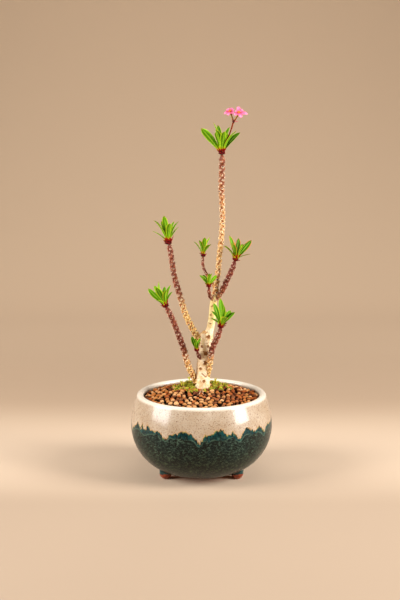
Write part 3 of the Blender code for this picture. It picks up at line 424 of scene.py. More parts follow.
def tube_shell(rows, columns, relief=None, round_end=True):
    """Points and faces of a closed tube. Relief is added to the radius, ring by ring and column by column."""
    centres, radii = rows[:, :3], rows[:, 3]
    grows, sides, others = line_frames(centres)
    angles = np.linspace(0, 2 * math.pi, columns, endpoint=False)
    out = sides[:, None] * np.cos(angles)[None, :, None] + others[:, None] * np.sin(angles)[None, :, None]
    reach = radii[:, None] + (0 if relief is None else relief)
    reach = np.broadcast_to(reach, (len(rows), columns))
    points = (centres[:, None] + out * reach[:, :, None]).reshape(-1, 3)
    faces = ring_faces(len(rows), columns)
    extra, last = [], (len(rows) - 1) * columns
    if round_end:
        for share in (0.35, 0.65, 0.88):
            lift = radii[-1] * END_ROUNDING * share
            narrow = math.sqrt(1 - share ** 2)
            ring = centres[-1] + grows[-1] * lift + out[-1] * (reach[-1] * narrow)[:, None]
            extra.append(ring)
        points = np.vstack([points] + extra)
        faces += ring_faces(4, columns, last)
        last += 3 * columns
    tip = centres[-1] + grows[-1] * radii[-1] * END_ROUNDING * (1 if round_end else 0)
    points = np.vstack([points, tip, centres[0]])
    faces += cap_faces(last, columns, len(points) - 2)
    faces += cap_faces(0, columns, len(points) - 1, outward=False)
    return points, faces


def end_of(route):
    """Where a shoot stops, its rounded end included."""
    before, last = Vector(route[-2]), Vector(route[-1])
    return last.xyz + (last.xyz - before.xyz).normalized() * last.w * END_ROUNDING


def square_to(direction, along):
    """The part of a direction that is square to another one."""
    return (direction - along * direction.dot(along)).normalized()


def bearing_and_lean(bearing, lean):
    """A direction from its bearing round the upright and its lean away from it, in degrees."""
    bearing, lean = math.radians(bearing), math.radians(lean)
    return Vector((math.cos(bearing) * math.sin(lean), math.sin(bearing) * math.sin(lean), math.cos(lean)))


def turn_of(along, facing):
    """The turn that takes +Z to one direction and +Y to another, as angles about X, Y and Z."""
    across = facing.cross(along)
    return tuple(Matrix((across, facing, along)).transposed().to_euler("XYZ"))


def rosette_places(rosette):
    """Where a rosette's red foot and green heart stand on its shoot, how they lean, and their scale."""
    route = ROUTE_OF[rosette]
    axis = (Vector(route[-1][:3]) - Vector(route[-2][:3])).normalized()
    scale = max(SMALLEST_ROSETTE, min(route[-1][3] / FULL_SHOOT, 1))
    foot = end_of(route) + axis * GAP
    return foot, foot + axis * (COLLAR_HEIGHT * scale + GAP), axis, scale


# --- Copies of small forms, placed by Geometry Nodes ---

ON_POINTS, ON_GROUND = "set_forms_on_points", "scatter_forms_on_ground"


def add_socket(tree, way, name, kind, value=None):
    socket = tree.interface.new_socket(name, in_out=way, socket_type=kind)
    if value is not None:
        socket.default_value = value
    return socket


def put(tree, kind, inputs=None, output=0, **settings):
    """Adds a node, sets it, fills or links its inputs, and gives back one of its outputs."""
    node = tree.nodes.new(kind)
    for name, value in settings.items():
        setattr(node, name, value)
    for name, value in (inputs or {}).items():
        value = getattr(value, "socket", value)
        if isinstance(value, bpy.types.NodeSocket):
            tree.links.new(value, node.inputs[name])
        else:
            node.inputs[name].default_value = value
    return node.outputs[output]


def give(tree, values):
    """Sends values to the tree's own outputs."""
    end = tree.nodes.new("NodeGroupOutput")
    for name, value in values.items():
        tree.links.new(getattr(value, "socket", value), end.inputs[name])


def forms_tree(name, numbers):
    """A tree that sets forms on a ground or on points. Numbers are its own inputs: (name, kind, value)."""
    tree = bpy.data.node_groups.new(name, "GeometryNodeTree")
    add_socket(tree, "INPUT", "Ground", "NodeSocketGeometry")
    add_socket(tree, "INPUT", "Forms", "NodeSocketCollection")
    add_socket(tree, "INPUT", "Finish", "NodeSocketMaterial")
    for number, kind, value in numbers:
        add_socket(tree, "INPUT", number, kind, value)
    add_socket(tree, "OUTPUT", "Copies", "NodeSocketGeometry")
    given = tree.nodes.new("NodeGroupInput").outputs
    forms = put(tree, "GeometryNodeCollectionInfo", {
        "Collection": given["Forms"], "Separate Children": True, "Reset Children": True})
    return tree, given, forms


def finish_copies(tree, given, copies):
    """Makes the copies real and gives them their finish."""
    real = put(tree, "GeometryNodeRealizeInstances", {"Geometry": copies})
    shown = put(tree, "GeometryNodeSetMaterial", {"Geometry": real, "Material": given["Finish"]})
    give(tree, {"Copies": shown})
    return tree


def points_tree():
    """Sets one of several forms on each point. The point's own traits say which form, how it is turned
    and how far it is stretched."""
    tree, given, forms = forms_tree(ON_POINTS, ())

    def own(trait, kind):
        return put(tree, "GeometryNodeInputNamedAttribute", {"Name": trait}, data_type=kind)

    turned = put(tree, "FunctionNodeEulerToRotation", {"Euler": own("turn", "FLOAT_VECTOR")})
    return finish_copies(tree, given, put(tree, "GeometryNodeInstanceOnPoints", {
        "Points": given["Ground"], "Instance": forms, "Pick Instance": True,
        "Instance Index": own("form", "INT"), "Rotation": turned, "Scale": own("stretch", "FLOAT_VECTOR")}))


def fill_modifier(modifier, values):
    """Fills a node modifier's named inputs."""
    for item in modifier.node_group.interface.items_tree:
        if item.item_type == "SOCKET" and item.in_out == "INPUT" and item.name in values:
            modifier[item.identifier] = values[item.name]


def bake(obj):
    """Turns what the modifiers make into the object's own mesh."""
    bpy.context.view_layer.update()
    graph = bpy.context.evaluated_depsgraph_get()
    mesh = bpy.data.meshes.new_from_object(
        obj.evaluated_get(graph), preserve_all_data_layers=True, depsgraph=graph)
    obj.modifiers.clear()
    obj.data = mesh
    mesh.name = obj.name
    return obj


def place_forms(obj, forms, tree_name, build_tree, **values):
    """Turns an object into copies of the forms, set by a node tree, and removes the forms."""
    shelf = bpy.data.collections.new(obj.name + "_forms")
    for form in forms:
        bpy.context.scene.collection.objects.unlink(form)
        shelf.objects.link(form)
    modifier = obj.modifiers.new("Copies", "NODES")
    modifier.node_group = bpy.data.node_groups.get(tree_name) or build_tree()
    fill_modifier(modifier, {"Forms": shelf, **values})
    bake(obj)
    for form in forms:
        bpy.data.objects.remove(form)
    bpy.data.collections.remove(shelf)
    return obj


class Spots:
    """Gathers the spots of one piece's copies: their places, turns, stretches and forms."""

    def __init__(self):
        self.places, self.turns, self.sizes, self.forms = [], [], [], []

    def add(self, at, along, facing, size, form):
        self.places.append(tuple(at))
        self.turns.append(turn_of(along, facing))
        self.sizes.append(size)
        self.forms.append(form)

    def piece(self, name, forms, finish, **traits):
        spots = mesh_piece(name, self.places, [], traits={
            "turn": np.array(self.turns), "stretch": np.array(self.sizes),
            "form": np.array(self.forms, np.int32), **traits})
        return place_forms(spots, forms, ON_POINTS, points_tree, Finish=finish)


def hand_over(obj, slot, *nodes):
    """Rides a finished piece on the body and lets it stand for the CAD nodes, which it hides. The slot is not
    used.
    """
    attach(obj, BODY)
    if nodes:
        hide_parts(*nodes)


# --- Finishes ---

# How far flecks are pushed about, in metres
FLECK_WOBBLE = 0.0012


class Field:
    """A number or colour that varies over a surface. Arithmetic on it adds the nodes that work it out."""

    def __init__(self, socket):
        self.socket, self.tree = socket, socket.id_data

    def __mul__(self, other):
        return maths("MULTIPLY", self, other)

    def __add__(self, other):
        return maths("ADD", self, other)

    def __sub__(self, other):
        return maths("SUBTRACT", self, other)

    def __rsub__(self, other):
        return maths("SUBTRACT", other, self)

    def __abs__(self):
        return maths("ABSOLUTE", self)


def shade(source, kind, inputs, output=0, **settings):
    """Adds a node beside the field that feeds it."""
    return Field(put(source.tree, kind, inputs, output, **settings))


def maths(operation, *values):
    source = next(value for value in values if isinstance(value, Field))
    return shade(source, "ShaderNodeMath", dict(enumerate(values)), operation=operation)


def step(value, low, high, to_low=0.0, to_high=1.0):
    """A smooth change from one value to another while the input goes from low to high."""
    return shade(value, "ShaderNodeMapRange", {
        "Value": value, "From Min": low, "From Max": high, "To Min": to_low, "To Max": to_high},
        interpolation_type="SMOOTHSTEP")


def mix(share, first, second):
    """The first colour, turned into the second as the share grows."""
    first, second = (colour if isinstance(colour, Field) else (*colour, 1.0) for colour in (first, second))
    return shade(share, "ShaderNodeMix", {0: share, 6: first, 7: second}, output=2, data_type="RGBA")


def clouds(vector, scale, detail=3.0, roughness=0.5):
    return shade(vector, "ShaderNodeTexNoise", {
        "Vector": vector, "Scale": scale, "Detail": detail, "Roughness": roughness})


def cells(vector, scale, output=0):
    return shade(vector, "ShaderNodeTexVoronoi", {"Vector": vector, "Scale": scale}, output=output)


def ramp(value, stops):
    """Colours by value. Stops are (position, colour)."""
    colour = shade(value, "ShaderNodeValToRGB", {"Fac": value})
    band = colour.socket.node.color_ramp
    while len(band.elements) < len(stops):
        band.elements.new(0.5)
    for element, (position, stop) in zip(band.elements, stops):
        element.position = position
        element.color = (*stop, 1.0)
    return colour


def part_of(vector, axis):
    """One of a vector's three numbers."""
    return shade(vector, "ShaderNodeSeparateXYZ", {0: vector}, output=axis)


def stretched(vector, scale):
    return shade(vector, "ShaderNodeMapping", {"Vector": vector, "Scale": scale})


def group_of(name, numbers, output, build):
    """A shader node group, built once for every material that wants it. It takes a vector and numbers."""
    tree = bpy.data.node_groups.get(name)
    if tree is None:
        tree = bpy.data.node_groups.new(name, "ShaderNodeTree")
        add_socket(tree, "INPUT", "Vector", "NodeSocketVector")
        for number, value in numbers.items():
            add_socket(tree, "INPUT", number, "NodeSocketFloat", value)
        add_socket(tree, "OUTPUT", output, "NodeSocketFloat")
        given = tree.nodes.new("NodeGroupInput").outputs
        give(tree, {output: build(*(Field(given[number]) for number in ("Vector", *numbers)))})
    return tree


def use_group(group, vector, **numbers):
    return shade(vector, "ShaderNodeGroup", {"Vector": vector, **numbers}, node_tree=group)


def speckle(vector, scale, share):
    """Small dark or pale flecks of uneven size, as iron spots in a glaze or dust on bark."""
    def build(where, scale, share):
        wobble = shade(where, "ShaderNodeTexNoise", {"Vector": where, "Scale": scale}, output=1)
        bent = shade(where, "ShaderNodeVectorMath", {0: wobble, "Scale": FLECK_WOBBLE}, operation="SCALE")
        moved = shade(where, "ShaderNodeVectorMath", {0: where, 1: bent}, operation="ADD")
        away = cells(moved, scale)
        chance = shade(where, "ShaderNodeSeparateColor", {0: away.socket.node.outputs["Color"]})
        return step(chance * share - away, 0.0, 0.12)
    group = group_of("speckle", {"Scale": 900.0, "Share": 0.4}, "Mask", build)
    return use_group(group, vector, Scale=scale, Share=share)


def mottle(vector, scale, contrast):
    """Soft uneven patches, from 0 to 1."""
    def build(where, scale, contrast):
        half = contrast * 0.5
        high = maths("ADD", 0.5, half)
        return step(clouds(where, scale, 4.0, 0.6), high, 0.5 - half, 1.0, 0.0)
    group = group_of("mottle", {"Scale": 100.0, "Contrast": 0.4}, "Mask", build)
    return use_group(group, vector, Scale=scale, Contrast=contrast)


def tooth(vector, scale, pits):
    """The fine unevenness of a surface, as a height for a Bump node."""
    def build(where, scale, pits):
        return clouds(where, scale, 5.0, 0.65) + cells(where, scale) * pits
    group = group_of("tooth", {"Scale": 1500.0, "Pits": 0.2}, "Height", build)
    return use_group(group, vector, Scale=scale, Pits=pits)


class Finish:
    """One material in the making. Numbers that are the same all over go on the shader itself."""

    def __init__(self, name, **constants):
        self.material = bpy.data.materials.new(name)
        self.material.use_nodes = True
        self.tree = self.material.node_tree
        self.shader = self.tree.nodes["Principled BSDF"]
        for socket, value in constants.items():
            self.shader.inputs[socket.replace("_", " ")].default_value = value

    def node(self, kind, output=0, **settings):
        return Field(put(self.tree, kind, output=output, **settings))

    def trait(self, name):
        """A number that the mesh keeps for every point."""
        return self.node("ShaderNodeAttribute", output=2, attribute_name=name)

    def place(self):
        return self.node("ShaderNodeTexCoord", output=3)

    def height(self):
        """Height above the table in millimetres."""
        return part_of(self.place(), 2) * 1000.0

    def facing(self, axis):
        """How far the surface faces along one axis."""
        return part_of(self.node("ShaderNodeNewGeometry", output=1), axis)

    def wire(self, colour, roughness, relief, strength, distance, **others):
        """Joins colour, roughness and relief to the shader, and gives back the material."""
        normal = Field(put(self.tree, "ShaderNodeBump", {
            "Height": relief, "Strength": strength, "Distance": distance}))
        joins = {"Base Color": colour, "Roughness": roughness, "Normal": normal, **others}
        for socket, value in joins.items():
            self.tree.links.new(value.socket, self.shader.inputs[socket.replace("_", " ")])
        return self.material


# --- The bowl ---


def bowl_curve(base_radius, base_height, belly_radius, rim_radius):
    """One side of the wall from its foot to its shoulder, as rows of (radius, height)."""
    turns = np.radians(np.linspace(0, 90, 121))
    out = np.sin(turns) ** (2 / LOWER_ROUNDNESS)
    down = np.abs(np.cos(turns)) ** (2 / LOWER_ROUNDNESS)
    lower = np.column_stack([
        base_radius + (belly_radius - base_radius) * out, BELLY_HEIGHT - (BELLY_HEIGHT - base_height) * down])
    heights = np.linspace(BELLY_HEIGHT, SHOULDER_HEIGHT, 60)[1:]
    part = (heights - BELLY_HEIGHT) / (RIM_HEIGHT - BELLY_HEIGHT)
    upper = np.column_stack([belly_radius - (belly_radius - rim_radius) * part ** UPPER_ROUNDNESS, heights])
    return np.vstack([lower, upper])


def bowl_section(fine, coarse):
    """The whole section as rows of (radius, height, inside): from the drain hole outwards under the base,
    up the outside, over the lip and down the inside. Rings lie closer where the glazes meet."""
    outer = bowl_curve(BASE_RADIUS, BASE_HEIGHT, BOWL_RADIUS, RIM_RADIUS)
    inner = bowl_curve(FLOOR_RADIUS, FLOOR_HEIGHT, BOWL_RADIUS - WALL, RIM_RADIUS - WALL)[::-1]
    middle, half = (outer[-1, 0] + inner[0, 0]) / 2, (outer[-1, 0] - inner[0, 0]) / 2
    turns = np.radians(np.linspace(0, 180, 25))[1:-1]
    lip = np.column_stack([
        middle + half * np.cos(turns), SHOULDER_HEIGHT + (RIM_HEIGHT - SHOULDER_HEIGHT) * np.sin(turns)])
    under = np.array([
        (DRAIN_RADIUS, BASE_HEIGHT + 0.5), (DRAIN_RADIUS + 0.5, BASE_HEIGHT),
        (BASE_RADIUS - 1.0, BASE_HEIGHT), (BASE_RADIUS - 0.3, BASE_HEIGHT + 0.1)])
    floor = np.array([(DRAIN_RADIUS + 0.5, FLOOR_HEIGHT), (DRAIN_RADIUS, FLOOR_HEIGHT - 0.5)])
    rows = np.vstack([under, outer[1:], lip, inner, floor])
    inside = np.concatenate([np.zeros(len(under) + len(outer) - 1), np.linspace(0, 1, len(lip)),
                             np.ones(len(inner) + len(floor))])
    pitch = np.full(len(rows), coarse)
    pitch[(inside == 0) & (rows[:, 1] > FINE_RINGS[0]) & (rows[:, 1] < FINE_RINGS[1])] = fine
    pitch[(inside > 0) & (inside < 1)] = fine
    gaps = np.linalg.norm(np.diff(rows, axis=0), axis=1) / ((pitch[1:] + pitch[:-1]) / 2)
    units = np.concatenate([[0], np.cumsum(gaps)])
    even = np.linspace(0, units[-1], round(units[-1]) + 1)
    return np.column_stack([np.interp(even, units, column) for column in (rows[:, 0], rows[:, 1], inside)])


def above_line(line, arc, height):
    """How far points of the unrolled wall lie above (+) or below (-) a wavy line."""
    line = np.array([(math.radians(bearing) * BOWL_RADIUS, rise) for bearing, rise in line])
    above = height - np.interp(arc, line[:, 0], line[:, 1])
    spans = np.diff(line, axis=0)
    offset = np.stack([arc, height], axis=1)[:, None] - line[None, :-1]
    share = np.clip((offset * spans).sum(axis=2) / (spans ** 2).sum(axis=1), 0, 1)
    near = np.linalg.norm(offset - share[..., None] * spans, axis=2).min(axis=1)
    return np.copysign(near, above)


def ease(value, low, high):
    share = np.clip((value - low) / (high - low), 0, 1)
    return share * share * (3 - 2 * share)


def make_bowl(look, finish):
    section = bowl_section(look.fine_pitch / MM, look.coarse_pitch / MM)
    rows, columns = len(section), look.steps
    bearings = -90 + 360 * np.arange(columns) / columns
    radius, height, inside = (np.repeat(section[:, column], columns) for column in range(3))
    arc = np.tile(np.radians(bearings), rows)
    cream, seam = np.full(rows * columns, FAR), np.full(rows * columns, FAR)
    wall = inside == 0
    cream[wall] = np.clip(height[wall] - CREAM_MEAN, -FAR, FAR)
    seam[wall] = np.clip(height[wall] - SEAM_MEAN, -FAR, FAR)
    band = wall & (height > FRAYED[0]) & (height < FRAYED[1])
    cream[band] = above_line(CREAM_EDGE, arc[band] * BOWL_RADIUS, height[band])
    seam[band] = above_line(SEAM, arc[band] * BOWL_RADIUS, height[band])

    ways = np.gradient(section[:, :2], axis=0)
    ways /= np.linalg.norm(ways, axis=1)[:, None]
    out_way, up_way = np.repeat(ways[:, 1], columns), -np.repeat(ways[:, 0], columns)
    coat = look.glaze_thickness / MM
    build_up = coat * ease(cream, -0.35, 0.4) + 0.45 * coat * np.exp(-((cream - 0.5) / 0.5) ** 2)
    build_up += 0.35 * coat * np.exp(-(seam / 0.4) ** 2)
    build_up += 0.03 * np.sin(height * 0.45 + np.sin(arc) * 2) * wall
    build_up = np.where(wall, build_up, coat * (1 - 0.5 * inside))
    build_up[height < BASE_HEIGHT + 0.4] = 0
    radius = radius + out_way * build_up
    height = height + up_way * build_up
    points = np.column_stack([radius * np.sin(arc), -radius * np.cos(arc), height])
    faces = ring_faces(rows, columns)
    last = (rows - 1) * columns
    faces += [(last + c, last + (c + 1) % columns, (c + 1) % columns, c) for c in range(columns)]

    shells = Shells("cream", "seam", "inside", "foot")
    shells.add(points, faces, cream=cream, seam=seam, inside=inside)
    for number, bearing in enumerate(FOOT_BEARINGS):
        shells.add(*ball_foot(math.radians(bearing), number), foot=1.0, cream=-FAR, seam=-FAR)
    return shells.piece("glazed_bowl", finish)


def ball_foot(bearing, number, columns=48, rings=22):
    """A pressed ball of clay with a flat spot to stand on, and a neck that runs up into the bowl."""
    flat = math.acos(FOOT_BALL_HEIGHT / FOOT_RADIUS)
    turns = np.linspace(flat, math.radians(90), rings)
    outline = np.column_stack([FOOT_RADIUS * np.sin(turns), FOOT_BALL_HEIGHT - FOOT_RADIUS * np.cos(turns)])
    neck = np.linspace(0, 1, 9)[1:]
    rise = FOOT_BALL_HEIGHT + neck * (FOOT_NECK_TOP - FOOT_BALL_HEIGHT)
    outline = np.vstack([outline, np.column_stack([FOOT_RADIUS + 0.9 * neck ** 2, rise])])
    centre = np.array([math.cos(bearing) * FOOT_CIRCLE, math.sin(bearing) * FOOT_CIRCLE, 0])
    angles = np.linspace(0, 2 * math.pi, columns, endpoint=False)
    points = []
    for radius, height in outline:
        for angle in angles:
            out = Vector((math.cos(angle), math.sin(angle), height * 0.2))
            press = 1 + 0.035 * noise.noise(out * 1.3 + Vector((number * 7.0, 0, 0)))
            press = 1 if height < 0.05 else press
            points.append((radius * press * math.cos(angle), radius * press * math.sin(angle), height))
    points = np.array(points) + centre
    points = np.vstack([points, centre, centre + (0, 0, FOOT_NECK_TOP)])
    faces = ring_faces(len(outline), columns)
    faces += cap_faces(0, columns, len(points) - 2, outward=False)
    faces += cap_faces((len(outline) - 1) * columns, columns, len(points) - 1)
    return points, faces


def bowl_finish(look):
    """Cream glaze with iron specks over a dark green one, a bright band and a pale seam where they meet."""
    paint = Finish("bowl_glaze", Specular_IOR_Level=0.05, Coat_IOR=1.42, Coat_Roughness=0.16)
    where = paint.place()
    height = paint.height()
    cream, seam = (paint.trait("cream"), paint.trait("seam"))
    inside, foot = (paint.trait("inside"), paint.trait("foot"))
    runs = stretched(where, (1, 1, 0.3))
    fringe = clouds(runs, 430, 5, 0.7) - 0.5
    cream_at = cream + fringe * (look.fringe / MM)
    seam_at = seam + fringe * 0.9

    # the cream coat: cloudy, with fine iron specks, thinner and greener at its lower edge, and with a painted
    # highlight along the rim
    soft = mottle(where, 60, 0.5)
    body = mix(soft, look.cream, look.cream_shade)
    specks = speckle(where, 560, 0.36)
    dust = speckle(where, 1250, 0.55)
    sand = step(clouds(where, 1500, 4, 0.7), 0.44, 0.66)
    body = mix(sand * 0.55, body, look.sand)
    body = mix(dust * 0.62, body, look.speck)
    body = mix(specks * 0.7, body, look.speck)
    # the top of the rim painted paler: a painted highlight
    lip = step(height, 67, 69.8)
    body = mix(lip * 0.6, body, look.lip)
    hem = step(cream_at, 1.1, 0.1)
    body = mix(hem * 0.75, body, look.hem)

    # the dark coat: a fine pale bloom over near-black green, bluer high up and more olive below
    haze = clouds(stretched(where, (0.7, 0.7, 1.2)), 560, 9, 0.88)
    bloom = step(haze, 0.49, 0.6)
    blot = mottle(where, 130, 0.5)
    dark = mix(bloom * 0.62, look.dark, look.bloom)
    dark = mix(blot * 0.5, dark, look.teal_shade)
    low = step(height, 40, 12)
    dark = mix(low * bloom * 0.7, dark, look.olive)
    veil = mottle(runs, 210, 0.3)
    dark = mix(veil * 0.45, dark, look.dark)

    # the band between the pale seam and the cream: dark teal, bright at its upper points
    shreds = step(clouds(runs, 620, 5, 0.7), 0.4, 0.62)
    band = mix(shreds, look.band_deep, look.band)
    near_cream = step(cream_at, -3.2, -0.6)
    band = mix((1 - near_cream) * 0.6, band, dark)
    green = step(clouds(where, 420), 0.48, 0.62)
    top_edge = step(cream_at, -1.3, -0.1) * green
    band = mix(top_edge * 0.85, band, look.edge_green)
    outside = mix(step(seam_at, -0.4, 0.6), dark, band)
    line = step(seam_at, -0.8, -0.1) * step(seam_at, 0.6, 0)
    faint = line * step(clouds(where, 130), 0.35, 0.6)
    outside = mix(faint * 0.35, outside, look.seam)
    cover = step(cream_at, -0.2, 0.2)
    outside = mix(cover, outside, body)

    # where the glaze stops: the burnt line round the base, and the balls' bare clay
    off_foot = 1 - foot
    burnt = step(height, 4.4, 3.5) * off_foot
    outside = mix(burnt * 0.9, outside, look.clay)
    dip = height + clouds(where, 260) * 2.6
    bare = step(dip, 6.4, 5.6) * foot
    foot_coat = mix(mottle(where, 300, 0.5), look.band_deep, look.band)
    outside = mix(foot * 0.7, outside, foot_coat)
    clay = mix(mottle(where, 500, 0.5), look.foot_clay, look.foot_clay_dark)
    outside = mix(bare, outside, clay)
    inner = mix(specks * 0.4, look.cream_shade, look.speck)
    colour = mix(inside * step(height, 64, 58), outside, inner)

    skin = tooth(where, 700, 0.35)
    orange_peel = skin * 0.4 + clouds(where, 160, 2)
    rough = step(blot, 0, 1, 0.25, 0.4)
    shine = step(maths("MAXIMUM", cover, foot), 0, 1, 0.42, 1)
    return paint.wire(colour, rough, orange_peel, strength=0.25, distance=0.0002, Coat_Weight=shine)


# --- The fill and the dressing ---


def inside_radius(height):
    part = (height - BELLY_HEIGHT) / (RIM_HEIGHT - BELLY_HEIGHT)
    return BOWL_RADIUS - WALL - (BOWL_RADIUS - RIM_RADIUS) * part ** UPPER_ROUNDNESS


def mound_height(x, y):
    rise, middle_x, middle_y, reach_x, reach_y = HEAP
    heap = rise * math.exp(-((x - middle_x) / reach_x) ** 2 - ((y - middle_y) / reach_y) ** 2)
    return EDGE_HEIGHT + MOUND_RISE * (1 - (x * x + y * y) / inside_radius(EDGE_HEIGHT) ** 2) + heap


def mound_sheet(drop, outer, inner, centre=(0.0, 0.0), rings=14, columns=56, dome=0.0):
    """A round sheet that lies on the mound, for things to be scattered on. It faces up."""
    points = []
    for ring in range(rings + 1):
        radius = inner + (outer - inner) * ring / rings
        for column in range(columns):
            angle = 2 * math.pi * column / columns
            x, y = centre[0] + radius * math.cos(angle), centre[1] + radius * math.sin(angle)
            points.append((x, y, mound_height(x, y) - drop + dome * (1 - (radius / outer) ** 2)))
    faces = [face[::-1] for face in ring_faces(rings + 1, columns)]
    return points, faces


def pebble_form(name, seed):
    """A blunt-cornered grain, about one millimetre in radius."""
    draw = np.random.default_rng(seed)
    stretch = draw.uniform((0.95, 0.86, 0.76), (1.16, 1.0, 0.92))
    height = 1 - 2 * (np.arange(PEBBLE_CORNERS) + 0.5) / PEBBLE_CORNERS
    turn = GOLDEN_ANGLE * np.arange(PEBBLE_CORNERS)
    flat = np.sqrt(1 - height ** 2)
    ways = np.column_stack([flat * np.cos(turn), flat * np.sin(turn), height])
    ways += draw.uniform(-0.12, 0.12, ways.shape)
    shape = bmesh.new()
    for way in ways * draw.uniform(0.90, 1.04, (PEBBLE_CORNERS, 1)) * stretch:
        shape.verts.new(way * MM)
    hull = bmesh.ops.convex_hull(shape, input=shape.verts)
    spare = [item for item in hull["geom_interior"] if isinstance(item, bmesh.types.BMVert)]
    bmesh.ops.delete(shape, geom=spare, context="VERTS")
    bmesh.ops.recalc_face_normals(shape, faces=shape.faces)
    mesh = bpy.data.meshes.new(name)
    shape.to_mesh(mesh)
    shape.free()
    mesh.shade_smooth()
    mesh.set_sharp_from_angle(angle=math.radians(62))
    obj = bpy.data.objects.new(name, mesh)
    bpy.context.scene.collection.objects.link(obj)
    return obj


def sprig_form(name, seed, blades=5):
    """A tuft of short pointed blades, as moss has them, about one millimetre high."""
    draw = np.random.default_rng(seed)
    points, faces = [], []
    for blade in range(blades):
        bearing = 2 * math.pi * (blade + draw.uniform(-0.3, 0.3)) / blades
        lean = draw.uniform(0.25, 1.0)
        flat = math.sin(lean)
        way = np.array([math.cos(bearing) * flat, math.sin(bearing) * flat, math.cos(lean)])
        side = np.array([-math.sin(bearing), math.cos(bearing), 0]) * 0.17
        back = np.cross(way, side / 0.17) * 0.1
        length = draw.uniform(0.75, 1.2)
        first = len(points)
        for share, width in ((0, 0.7), (0.5, 1.0)):
            centre = way * length * share
            points += [centre + side * width, centre - side * width, centre + back * width]
        points.append(way * length + np.array([0, 0, 0.05]))
        a, b, c, d, e, f, tip = range(first, first + 7)
        faces += [(a, c, f, d), (c, b, e, f), (b, a, d, e), (d, f, tip), (f, e, tip), (e, d, tip), (a, b, c)]
    form = mesh_piece(name, points, faces)
    shape = bmesh.new()
    shape.from_mesh(form.data)
    bmesh.ops.recalc_face_normals(shape, faces=shape.faces)
    shape.to_mesh(form.data)
    shape.free()
    return form


def scatter_tree():
    """Scatters forms over a ground with a least spacing, each turned at random and with a tone of its own."""
    number = "NodeSocketFloat"
    tree, given, forms = forms_tree(ON_GROUND, (
        ("Spacing", number, 0.003), ("Smallest", number, 1.5), ("Largest", number, 2.4),
        ("Tumble", number, math.pi), ("Seed", "NodeSocketInt", 1)))

    def chance(kind, low, high, shift, output):
        seed = put(tree, "ShaderNodeMath", {0: given["Seed"], 1: float(shift)}, operation="ADD")
        low_socket, high_socket = (0, 1) if kind == "FLOAT_VECTOR" else (2, 3)
        return put(tree, "FunctionNodeRandomValue", {low_socket: low, high_socket: high, "Seed": seed},
                   output=output, data_type=kind)

    points = put(tree, "GeometryNodeDistributePointsOnFaces", {
        "Mesh": given["Ground"], "Distance Min": given["Spacing"], "Density Max": MOST_POINTS,
        "Seed": given["Seed"]}, distribute_method="POISSON")
    tumble = put(tree, "ShaderNodeCombineXYZ", {0: given["Tumble"], 1: given["Tumble"], 2: math.pi})
    back = put(tree, "ShaderNodeVectorMath", {0: tumble, "Scale": -1.0}, operation="SCALE")
    turn = put(tree, "FunctionNodeEulerToRotation", {"Euler": chance("FLOAT_VECTOR", back, tumble, 1, 0)})
    size = chance("FLOAT", given["Smallest"], given["Largest"], 2, 1)
    which = put(tree, "FunctionNodeRandomValue", {4: 0, 5: 1000, "Seed": given["Seed"]},
                output=2, data_type="INT")
    copies = put(tree, "GeometryNodeInstanceOnPoints", {
        "Points": points, "Instance": forms, "Pick Instance": True, "Instance Index": which,
        "Rotation": turn, "Scale": size})
    return finish_copies(tree, given, put(tree, "GeometryNodeStoreNamedAttribute", {
        "Geometry": copies, "Name": "own_tone", "Value": chance("FLOAT", 0.0, 1.0, 3, 1)},
        data_type="FLOAT", domain="INSTANCE"))


def joined(name, pieces):
    """Puts several meshes of one finish into the first one's object."""
    bpy.context.view_layer.update()
    with bpy.context.temp_override(
            active_object=pieces[0], selected_objects=pieces, selected_editable_objects=pieces):
        bpy.ops.object.join()
    pieces[0].name = name
    return pieces[0]


def make_grains(look, finish):
    layers = []
    for number, (drop, shrink) in enumerate(((look.bed_drop / MM, BED_SHRINK), (0.0, 1.0))):
        points, faces = mound_sheet(drop, *GRAIN_SHEET)
        ground = mesh_piece("grains_" + str(number), points, faces)
        forms = [pebble_form(f"pebble_{number}_{form}", 10 * number + form) for form in range(PEBBLE_FORMS)]
        layers.append(place_forms(
            ground, forms, ON_GROUND, scatter_tree, Spacing=look.grain_spacing * shrink,
            Smallest=look.smallest_grain / MM / 2 * shrink, Largest=look.largest_grain / MM / 2 * shrink,
            Seed=look.seed + number, Finish=finish))
        # marks the lower layer, which the finish paints near black as painted shade
        add_trait(layers[-1].data, "damp", np.full(len(layers[-1].data.vertices), 1.0 - number))
    return joined("clay_grains", layers)


def grain_finish(look):
    """Low-fired clay: pale tan to orange brown, each grain its own tone, paler in patches towards the front,
    and pitted. The lower layer and the grains' undersides are painted near black as painted shade.
    """
    paint = Finish("fired_clay", Specular_IOR_Level=0.1)
    where = paint.place()
    own = paint.trait("own_tone")
    colour = ramp(own, [(0, look.grain_red), (0.22, look.grain_brown), (0.45, look.grain_orange), (0.7,
        look.grain_tan), (1, look.grain_pale)])
    patch = mottle(where, 420, 0.5)
    # paler in patches towards the front
    depth = part_of(where, 1)
    paler_to_front = step(depth, 0, -0.042, 0.08, 0.34)
    colour = mix(patch * paler_to_front, colour, look.grain_pale)
    dark = speckle(where, 1700, 0.45)
    colour = mix(dark * 0.45, colour, look.grain_red)
    # the lower layer painted near black: painted shade in the gaps between the upper grains
    colour = mix(paint.trait("damp") * 0.97, colour, look.bed)
    # grains painted near black where they face down: painted shade on their undersides
    facing = paint.facing(2)
    colour = mix(step(facing, 0.6, -0.15) * 0.92, colour, look.bed)
    pores = tooth(where, 1800, 0.5)
    rough = step(patch, 0, 1, 0.78, 0.95)
    return paint.wire(colour, rough, pores, strength=0.55, distance=0.0003)


